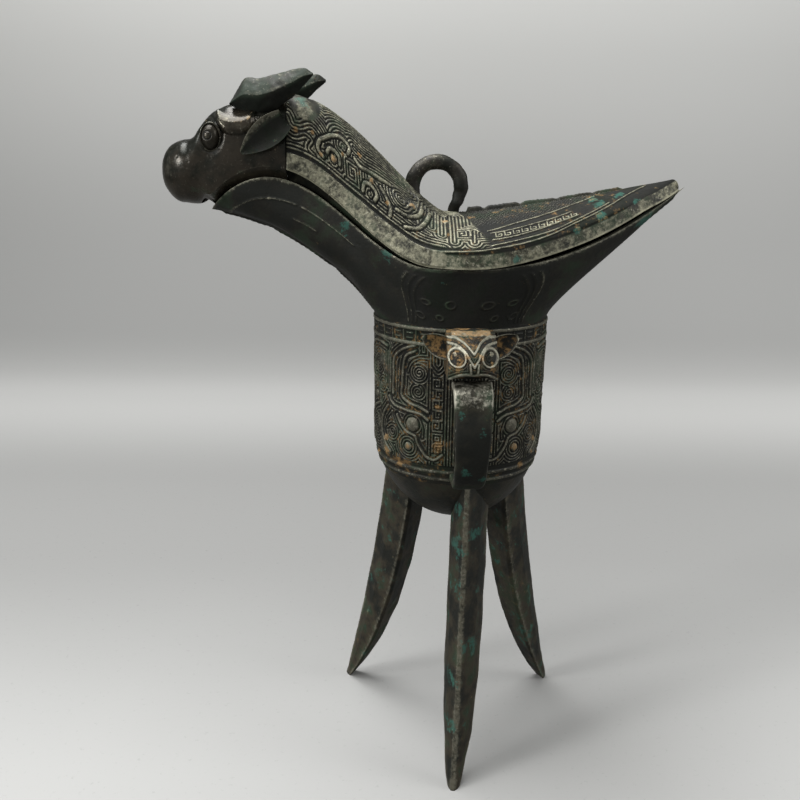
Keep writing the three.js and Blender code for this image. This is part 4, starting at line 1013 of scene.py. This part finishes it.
def buildHead():
    # The head's skin, pushed out at brow and leaf and in round the eye, and its lining one wall in.
    sweep = np.sin(np.linspace(0, np.pi / 2, head["rows"])) ** 1.1
    length = head["snout"] - head["seam"]
    x = head["seam"] + length * sweep
    phi = np.linspace(-1, 1, head["columns"])
    outer = headSkin(x, phi)
    xs, side, zs = outer[..., 0], np.abs(outer[..., 1]), outer[..., 2]
    edge = lineThrough(profile["brow"], np.clip(xs, -85, -68.6))
    rise = np.clip((zs - edge) / 2.4, 0, 1)
    onBrow = np.sqrt(rise * (2 - rise)) * (1 - soft((zs - edge - 3.2) / 5)) * soft((xs + 85) / 3.5)
    onBrow = onBrow * soft((-68.8 - xs) / 2.5) * soft((side - 4) / 2)
    socket = np.hypot((xs - eye["x"]) / 4.6, (zs - eye["z"]) / 5.8)
    hollow = soft((1.1 - socket) / 0.5) * soft((side - 7) / 2)
    # A small leaf hangs between brow and ear, and the nape behind the ear is rough.
    leaf = np.abs(xs + 67.4) - 2.3 * np.clip((zs - 222.6) / 5.5, 0, 1)
    onLeaf = soft(-leaf / 0.5) * soft((229.2 - zs) / 0.6) * soft(side - 8) * (1 - onBrow)
    rough = soft((xs + 63) / 2) * soft((zs - 231) / 2)
    push = onBrow * 1.9 + onLeaf * 0.8 - hollow * 0.5 + noiseOf(outer, 6.0, 51) * 0.1
    push += rough * 0.35 * noiseOf(outer, 1.6, 57)
    push *= soft((head["seam"] - xs) / 0.8)
    skin = outer + outwards(outer, (-80, 0, 215)) * push[..., None]
    inner = headSkin(head["seam"] + 0.25 + (length + 3.0) * sweep, phi[::4], head["inset"])
    # The lining hangs down inside the mouth, between the walls of the spout.
    hang = soft((inner[..., 0] + 88) / 3) * soft((np.abs(phi[::4]) - 0.8) / 0.2)
    between = np.maximum(halfWidth(inner[..., 0], wall["thickness"]) - 0.9, 1.0)
    inner[..., 1] *= mix(1, np.minimum(between / np.maximum(np.abs(inner[..., 1]), 0.1), 1), hang)
    inner[..., 2] -= 4.2 * hang
    # The snout's front is made lighter: partly rubbed wear, partly a painted highlight.
    field = 0.45 + 0.3 * onBrow + 0.25 * soft((-97 - xs) / 3) + 0.3 * rough - hollow * 0.3
    low = zs - np.where(xs < head["corner"], 200.5, lidEdge(np.maximum(xs, head["corner"])))
    earth = onBrow * soft((xs + 80) / 4) * soft((zs - edge - 1.5) / 2) * 0.55
    teal = onLeaf * 0.4 + patches(xs, zs, ((-80, 224.6, 1.5),)) * 0.3
    addPiece("skull", skin, "lid", ["beast_head"], headBronze, "bronze_worn",
             relief=np.clip(field + soft((0.9 - low) / 0.8) * 0.3, 0, 1), earth=earth, teal=teal)
    addPiece("skullLining", inner, "lid", [], innerBronze, "bronze_worn", hollow=True)
    # The seams close the wall's thickness along the open lower edge and round the snout.
    for label, column in (("Near", 0), ("Far", -1)):
        strip = np.stack([mix(skin[:, column], inner[:, column], k) for k in np.linspace(0, 1, 4)], 1)
        addPiece("skullRim" + label, strip, "lid", [], headBronze, "bronze_worn")


def ellipsoid(centre, half, rows=60, cols=80):
    # Sines and cosines of two angles, with the poles on y.
    t = np.linspace(0.03, np.pi - 0.03, rows)[:, None]
    a = around(cols)
    return np.array(centre) + np.array(half) * xyz(np.sin(t) * np.cos(a), -np.cos(t), np.sin(t) * np.sin(a))


def tubeAlong(path, radius, cols=16):
    # A round bar along a closed or open path in space.
    along = unit(np.gradient(path, axis=0))
    aside = unit(np.cross(along, (0.0, 1.0, 0.03)))
    up = np.cross(aside, along)
    a = around(cols)[None, :, None]
    return path[:, None] + radius * (np.cos(a) * aside[:, None] + np.sin(a) * up[:, None])


def buildEyes():
    # An ellipsoid with an engraved ring on its outer side, in a thin raised rim.
    for side, name in ((-1, "Left"), (1, "Right")):
        ball = ellipsoid((eye["x"], side * eye["y"], eye["z"]), eye["half"])
        u, v = ball[..., 0] - eye["x"], ball[..., 2] - eye["z"]
        pupil = ridge(np.abs(np.hypot(u + 0.7, v - 0.5) - 1.35), 0.22)
        pupil = pupil * soft((side * ball[..., 1] - eye["y"]) / 0.8)
        ball = ball - np.array([0, side, 0]) * (0.28 * pupil)[..., None]
        addPiece("eye" + name, ball, "lid", ["eye_" + name.lower()], eyeBronze, "bronze_worn", True,
                 bothEnds, relief=0.6 - 0.5 * pupil)
        a = np.linspace(0, 2 * np.pi, 72)
        u, v = 3.3 * np.cos(a), 4.45 * np.sin(a)
        cheek = 10.75 - 0.012 * v * v - 0.1 * (u < 0) * np.abs(u)
        rim = xyz(eye["x"] + u, side * cheek, eye["z"] + v)
        addPiece("eyeRim" + name, tubeAlong(rim, 0.38), "lid", [], headBronze, "bronze_worn", True,
                 bothEnds, relief=0.7)


horn = {"root": -78.7, "height": 10.9, "half": 4.2, "lengths": {"Left": 28.4, "Right": 30.4}}


def buildHorns():
    # A blunt front that swells, then a back-swept point; a diamond in section, with crisp ridges.
    # Each row is (share of the length, underside, top, width).
    shape = np.array([(0.01, -0.4, -0.33, 0.3), (0.08, -0.47, -0.04, 0.55), (0.2, -0.6, 0.36, 0.9),
                      (0.37, -0.66, 0.37, 1), (0.56, -0.5, 0.46, 0.95), (0.76, -0.17, 0.6, 0.72),
                      (0.92, 0.22, 0.63, 0.4), (1, 0.42, 0.5, 0.14)])
    t = np.linspace(0.01, 1, 150)
    share = shape[:, 0]
    low, high, wide = (mix(curveThrough(share, row, t), np.interp(t, share, row), 0.45)
                       for row in shape.T[1:])
    a = around(104)
    across, up = squared(np.cos(a), 2 / 1.2), squared(np.sin(a), 2 / 1.2)
    for side, name in ((-1, "Left"), (1, "Right")):
        centre = xyz(horn["root"] + horn["lengths"][name] * t, side * mix(6.4, 12.4, t),
                     head["top"] + horn["height"] * (low + high) / 2)
        points = xyz(centre[:, :1], centre[:, 1:2] + horn["half"] * wide[:, None] * across,
                     centre[:, 2:] + horn["height"] / 2 * (high - low)[:, None] * up)
        out = unit(points - centre[:, None])
        uneven = noiseOf(points, 4.0, 61) * 0.24 + noiseOf(points, 1.4, 63) * 0.09
        points = points + out * uneven[..., None]
        # Painted light and shade: each horn's upper half is made lighter and its lower half dark.
        paintedLightAbove = soft((up + 0.15) / 0.3)[None, :] * soft((t[:, None] - 0.12) / 0.1)
        crest = np.exp(-((np.abs(across) - 1) / 0.12) ** 2) + 0.7 * np.exp(-((up - 1) / 0.15) ** 2)
        crack = ridge(np.abs(t[:, None] - 0.9 + 0.02 * np.sin(a * 3)), 0.006, 0.01) * (side > 0)
        addPiece("horn" + name, points, "lid", ["horn_" + name.lower()], hornBronze, "bronze_green", True,
                 bothEnds, relief=np.clip(0.16 + 0.36 * paintedLightAbove + 0.3 * crest[None, :] - crack * 0.6, 0, 1))


def leafPoints(root, tip, face, width, rows=70):
    # A leaf with a rolled edge: hollow towards face, thickest at its root.
    root, tip, face = (np.array(v, float) for v in (root, tip, face))
    length = np.linalg.norm(tip - root)
    along = (tip - root) / length
    across = unit(np.cross(face, along))
    normal = unit(np.cross(along, across))
    t = np.linspace(0, 1, rows)[:, None]
    half = width / 2 * np.sin(np.pi * mix(0.22, 0.97, t)) ** 0.8
    thick = mix(1.5, 0.7, t)
    k = np.linspace(-1, 1, 33)[None, :]
    off = np.abs(k)
    lip = np.exp(-((off - 0.93) / 0.1) ** 2)
    dish = thick * 0.5 - 0.2 + 0.052 * half
    front = 0.26 * half * off ** 1.7 - (1 - off ** 2.5) * dish + 0.12 * lip
    back = 0.26 * half * off ** 8 - (1 - off ** 3) * thick * 1.5
    side = np.concatenate([k + 0 * half, k[:, -2:0:-1] * 0.99 + 0 * half], 1)
    depth = np.concatenate([front, back[:, -2:0:-1]], 1)
    points = root + along * (length * t)[..., None] + (side * half)[..., None] * across
    points = points + depth[..., None] * normal
    inside = np.concatenate([soft((1 - off) / 0.22) + 0 * half, 0 * back[:, -2:0:-1]], 1)
    return points, side, inside * soft((1 - t) / 0.12)


def buildEars():
    # Each ear is a leaf that hangs forward and out from the nape.
    for side, name in ((-1, "Left"), (1, "Right")):
        root, tip = (head["seam"], side * 11.6, 228.3), (-73.4, side * 17, 217.6)
        p, k, inside = leafPoints(root, tip, (-0.35, side, -0.35), 9.6)
        p = p + noiseOf(p, 2.5, 65)[..., None] * 0.06
        addPiece("ear" + name, p, "lid", ["ear_" + name.lower()], earBronze, "bronze_green", True, bothEnds,
                 relief=np.clip(0.3 - inside * 0.3 + 0.8 * soft((side * k - 0.3) / 0.5), 0, 1),
                 teal=inside * 0.2)


buildHead()
buildEyes()
buildHorns()
buildEars()
print("head made")


# Handle, mask and legs
strap = {"out": 49.0, "top": 147.2, "foot": 111.4, "width": 13.1, "footWidth": 9.6, "thickness": 3.4,
         "turn": 2.0}


def withHandle(points):
    # The handle, its mask and the mask's ears and eyes stand a little round the axis.
    return turned(points, strap["turn"])


def buildStrap():
    # A flat band with rounded edges along a path that leaves the mask and turns back to the wall.
    out, top, foot = strap["out"], strap["top"], strap["foot"]
    line, s, _ = smoothPath([(out - 7.5, top), (out - 2.4, top - 1.4), (out, top - 9),
                             (out, mix(top, foot, 0.62)), (out - 3, foot + 6.5), (out - 10, foot + 1),
                             (26.2, foot)], 220)
    along = unit(np.gradient(line, axis=0))
    outward = np.stack([-along[:, 1], along[:, 0]], 1)
    half = mix(strap["width"], strap["footWidth"], (s / s[-1]) ** 0.7) / 2
    a = around(96)
    w = squared(np.cos(a), 0.4)
    n = squared(np.sin(a), 0.62) * strap["thickness"] / 2
    points = xyz(half[:, None] * w, -(line[:, :1] + outward[:, :1] * n), line[:, 1:] + outward[:, 1:] * n)
    points += noiseOf(points, 5.0, 71)[..., None] * 0.13
    edge = soft((np.abs(w) - 0.86) / 0.12)[None, :]
    # Painted light: the strap's top, below the mask, is made lighter.
    paintedTopLight = soft((line[:, 1] - 138) / 6)[:, None]
    teal = patches(points[..., 0], points[..., 2],
                   ((3.4, 134, 2.0), (-2, 120, 2.4), (4, 117, 2.0), (-4, 140, 1.6)))
    addPiece("handleBand", withHandle(points), "cup", ["handle_strap"], strapBronze, "bronze_dark", True,
             bothEnds, relief=np.clip(0.25 + 0.3 * edge + 0.45 * paintedTopLight, 0, 1), teal=teal * 0.7)


mask = {"floor": 149.2, "height": 14.2, "half": 7.8, "standoff": 17.6, "eyeX": 5.1, "eyeOut": 42.2,
        "eyeZ": 156.7}


def buildMask():
    # Profiles across the face: a brow that slopes out to the muzzle, and a mouth arched over the strap.
    u = np.linspace(-1, 1, 200)
    swell = np.sqrt(1 - 0.62 * u * u)
    floor = mask["floor"] + 2.13 * (1 - u * u)
    crown = mask["floor"] + mask["height"] * mix(0.9, 1, swell)
    reach = wall["radius"] + mask["standoff"] * mix(0.55, 1, swell)
    back = wall["radius"] - 3.2 + 0 * u
    out = [back, reach - 7.04, reach - 2.11, reach, reach - 0.53, reach - 3.34, 34.82 + 0 * u,
           32.18 + 0 * u, back]
    z = [mask["floor"] + 0 * u, mask["floor"] + 0 * u, floor]
    z += [mix(floor, crown, share) for share in (0.11, 0.34, 0.62, 0.94, 1, 1)]
    knots = np.linspace(0, 1, 9)
    w = np.linspace(0, 1, 220)
    outs, zs = (np.stack([curveThrough(knots, column, w) for column in np.array(side).T])
                for side in (out, z))
    skin = xyz((u * mask["half"])[:, None], -outs, zs)
    # Strokes on x against height: a bar on top, brows in a V, a nose, rims round the eyes, an arched lip.
    strokes = [
        flowing((0, -2.4), (1.3, -0.4), (2.6, 1.7), (4.6, 3.0), (7.6, 3.4)),
        flowing((0, 1.2), (2.2, 3.4), (4.6, 4.6), (7.6, 4.8)), circle(mask["eyeX"], 0, 2.5),
        flowing((1.0, -4.2), (1.3, -1.6)), flowing((0, -4.6), (2.4, -4.4), (5.0, -5.0), (7.4, -6.4)),
    ]
    start = (0.0, -9.0)
    gap = distanceTo((9, 18), strokes, 2.4, start)
    x, v = np.abs(skin[..., 0]), skin[..., 2] - mask["eyeZ"]
    relief = readRaster(ridge(gap, 0.34), x, v, start)
    fine = readRaster(contours(gap, 0.9, 0.45), x, v, start)
    front = soft((outs - wall["radius"] - 1.0) / 1.5) * soft((w[None, :] - 0.22) / 0.05)
    socket = np.exp(-(((x - mask["eyeX"]) / 2.2) ** 2 + (v / 2.2) ** 2) ** 2)
    bar = soft((v - 4.9) / 0.4) * soft((6.6 - v) / 0.6) * soft((6.6 - x) / 0.6)
    height = (np.maximum(relief * 0.5, fine * 0.2) + bar * 0.5 - socket * 0.6) * front
    skin = skin + outwards(skin, (0, -35, 155)) * (height + noiseOf(skin, 2.5, 81) * 0.07)[..., None]
    field = np.clip(0.12 + relief * 0.75 + fine * 0.3 + bar * 0.7 - socket * 0.3, 0, 1) * front
    spots = patches(x, v, ((2.2, 0.5, 1.4), (5.1, -3.4, 1.2), (0.4, -3, 1.0)))
    earth = np.clip(bar * 0.8 + spots * 0.7, 0, 1) * front
    # Painted shade: the mask's lower face and the parts off its front are made darker.
    paintedShade = 1 - front * soft((v + 7.5) / 1.5)
    addPiece("beastMask", withHandle(skin), "cup", ["handle_mask"], maskBronze, "bronze_earth", False,
             relief=field * (1 - 0.6 * paintedShade), earth=earth)
    for end, column in (("Left", -1), ("Right", 0)):
        edge = skin[column]
        cheek = np.stack([mix(edge.mean(0), edge, k) for k in np.linspace(0.02, 1, 8)], 0)
        addPiece("maskCheek" + end, withHandle(cheek), "cup", [], maskBronze, "bronze_earth", True,
                 ("first",), relief=0.3)
    for side, name in ((-1, "Right"), (1, "Left")):
        ball = ellipsoid((side * mask["eyeX"], -mask["eyeOut"], mask["eyeZ"]), (1.8, 1.8, 1.8), 40, 48)
        addPiece("maskEye" + name, withHandle(ball), "cup", ["mask_eye_" + name.lower()], maskBronze,
                 "bronze_worn", True, bothEnds, relief=0.9, earth=0.55)
        root = np.array([side * 5.6, -36.6, 156.6])
        p, k, inside = leafPoints(root, root + (side * 9.88, 2.2, 4.83), (0, -1, 0), 7.4)
        p = p + noiseOf(p, 2.0, 85)[..., None] * 0.06
        lower = inside * soft((0.35 - k * side) / 0.5)
        addPiece("maskEar" + name, withHandle(p), "cup", ["mask_ear_" + name.lower()], maskBronze,
                 "bronze_earth", True, bothEnds, relief=np.clip(1 - inside * 0.9, 0, 1), earth=lower * 0.5)


def bezier2(a, b, c, t):
    # From a to c, drawn towards b.
    return (1 - t) ** 2 * a + 2 * (1 - t) * t * b + t * t * c


legs = {
    "root": 30.2, "width": 13.4, "footWidth": 4.4, "edge": 1.3, "between": 14,
    "places": {"front": (-86, -13.3), "rear_left": (150, 0), "rear_right": (26, 8)},
}


def buildLegs():
    # A three-sided blade between a curved outer edge and a curved inner face. Each corner is
    # (share from the inner to the outer edge, share of half the width, share of the edge's width).
    t = np.linspace(0, 1, 200)
    outer = np.stack([bezier2(28.2, 33.2, 49.5, t), bezier2(116, 62.64, 0, t)], 1)
    inner = np.stack([bezier2(14.5, 20.84, 46.7, t), bezier2(100.6, 34.8, 0, t)], 1)
    half = mix(legs["width"], legs["footWidth"], t ** 4.2) / 2
    edge = np.minimum(legs["edge"], half) / 2
    one = [(1, 0, 1), (0.55, 0.72, 0), (0.06, 1, 0), (0, 0.8, 0)]
    corners = np.array(one + [(r, -h, -e) for r, h, e in one[::-1]], float)
    lines = []
    for here, there in zip(corners, np.roll(corners, -1, 0)):
        for f in np.arange(legs["between"]) / legs["between"]:
            s, h, e = mix(here, there, mix(f, soft(f), 0.25))
            r, z = mix(inner, outer, s).T
            lines.append(xyz(r - legs["root"], half * h + edge * e, z))
    local = np.stack(lines, 1)
    for name, (azimuth, twist) in legs["places"].items():
        points = turned(turned(local, twist) + (legs["root"], 0, 0), azimuth)
        calm = soft(points[..., 2] / 4)
        out = unit(points - points.mean(1, keepdims=True))
        uneven = noiseOf(points, 8.0, 91) * 0.22 + noiseOf(points, 2.6, 95) * 0.07
        points = points + out * (uneven * calm)[..., None]
        z = points[..., 2]
        crease = np.exp(-((local[..., 0] - local[..., 0].max(1, keepdims=True)) / 0.7) ** 2)
        flank = np.exp(-((np.abs(local[..., 1]) - np.abs(local[..., 1]).max(1, keepdims=True)) / 0.35) ** 2)
        field = np.clip(0.36 + 0.5 * crease + 0.45 * flank + 0.25 * soft((5 - z) / 3), 0, 1)
        patch = patches(local[..., 1], z, ((-3, 98, 4), (-2.6, 84, 5), (-3, 70, 4), (-2.4, 38, 4),
                                           (-2.4, 22, 4), (3, 90, 3), (3, 50, 4)))
        label = "leg" + "".join(word.capitalize() for word in name.split("_"))
        addPiece(label, points, "cup", ["leg_" + name], legBronze, "bronze_green", True, bothEnds,
                 relief=field, teal=patch * (0.75 if name == "front" else 0.45))


buildStrap()
buildMask()
buildLegs()
print("handle, mask and legs made")


# Room, lights and camera
room = {
    "floor": (0.44, 0.44, 0.43), "wall": (0.66, 0.66, 0.64), "bounce": (0.15, 0.15, 0.145),
    "front": -1.6, "back": 0.9, "side": 2.2, "height": 2.0, "bend": 0.35,
}


def buildRoom():
    # One sheet: the floor runs back and sweeps up into the wall on a quarter circle.
    bend, corner = room["bend"], room["back"] - room["bend"]
    turn = np.linspace(0.05, 1, 20) * np.pi / 2
    y = np.concatenate([np.linspace(room["front"], corner, 20), corner + bend * np.sin(turn),
                        np.full(10, room["back"])])
    z = np.concatenate([np.zeros(20), bend * (1 - np.cos(turn)),
                        np.linspace(bend + 0.05, room["height"], 10)])
    x = np.linspace(-room["side"], room["side"], 12)
    points = xyz(x, y[:, None], z[:, None])
    mesh = bpy.data.meshes.new("sweep")
    mesh.from_pydata(points.reshape(-1, 3).tolist(), [], gridQuads(len(y), len(x), False).tolist())
    mesh.polygons.foreach_set("use_smooth", np.ones(len(mesh.polygons), bool))
    make = Finish("paper")
    across, depth, height = make.axes()
    speck = make.noise(2.6, 3, 0.8).step(0.6, 0.72) * (1 - height.step(0.0, 0.02)) * 0.3
    colour = make.blend(height.step(0.02, 0.5), room["floor"], room["wall"])
    colour = make.blend(speck, colour, (0.25, 0.25, 0.24))
    # Painted light: the paper is made lighter towards the right.
    colour = make.blend(across.step(0.0, 0.6) * 0.4, colour, (0.9, 0.9, 0.88))
    # Painted shadow on the floor under and behind the cup, and painted shade at the foot of the wall.
    paintedFloorShadow = depth.step(-0.06, 0.15) * (1 - depth.step(0.26, 0.45)) * 0.36
    paintedWallShade = depth.step(0.48, 0.68) * (1 - height.step(0.1, 0.5)) * 0.34
    colour = make.blend(paintedFloorShadow + paintedWallShade, colour, (0.0, 0.0, 0.0))
    # The camera sees pale paper; the light that bounces off it on to the cup is that of a grey one.
    seen = make.node("ShaderNodeLightPath").outputs["Is Camera Ray"]
    colour = make.blend(seen, room["bounce"], colour)
    make.set(Base_Color=colour, Roughness=0.8)
    mesh.materials.append(make.material)
    linked("sweep", mesh)


def axesAt(place, right, up, back):
    # A placing whose own x, y and z run along the three directions.
    return Matrix([[right[k], up[k], back[k], place[k]] for k in range(3)] + [[0, 0, 0, 1]])


# Each lamp's place from the cup's middle, its size in metres and its power.
lamps = {
    "topSoft": ((-0.25, 0.05, 0.85), (0.8, 0.6), 13.0),
    "leftSoft": ((-0.9, -0.45, 0.4), (0.2, 0.25), 4.5),
    "rightSoft": ((0.9, -0.2, 0.45), (0.4, 0.7), 3.0),
}


def addLamp(name, offset, size, power):
    # A soft box that looks back at the cup's middle.
    data = bpy.data.lights.new(name, "AREA")
    data.shape = "RECTANGLE"
    data.size, data.size_y = size
    data.energy = power
    back = unit(np.array(offset))
    side = unit(np.cross((0.0, 0.001, 1.0), back))
    linked(name, data).matrix_world = axesAt(middle + offset, side, np.cross(back, side), back)


camera = {"place": (-21.6, -309.2, 217.5), "yaw": 0.07, "pitch": 15.75, "roll": 0.65, "focal": 870.0}


def buildCamera():
    # Looks along the angles' direction, with the picture rolled round it.
    data = bpy.data.cameras.new("camera")
    data.sensor_width = 36.0
    data.lens = camera["focal"] / 800 * 36
    data.clip_start = 0.01
    yaw, pitch, roll = (math.radians(camera[k]) for k in ("yaw", "pitch", "roll"))
    ahead = np.array([math.sin(yaw) * math.cos(pitch), math.cos(yaw) * math.cos(pitch), -math.sin(pitch)])
    right = unit(np.cross(ahead, (0, 0, 1)))
    up = np.cross(right, ahead)
    right, up = right * math.cos(roll) + up * math.sin(roll), up * math.cos(roll) - right * math.sin(roll)
    place = np.array(camera["place"]) / 1000 + axisPlace
    bpy.context.scene.camera = linked("camera", data)
    bpy.context.scene.camera.matrix_world = axesAt(place, right, up, -ahead)


buildRoom()
middle = axisPlace + (0, 0, 0.14)
for lampName, (offset, lampSize, power) in lamps.items():
    addLamp(lampName, offset, lampSize, power)
world = bpy.data.worlds.new("surroundings")
bpy.context.scene.world = world
world.use_nodes = True
sky = world.node_tree.nodes["Background"]
sky.inputs["Color"].default_value = (0.93, 0.94, 0.93, 1)
sky.inputs["Strength"].default_value = 0.38
bpy.context.scene.view_settings.view_transform = "Standard"
buildCamera()
print("room, lights and camera made")
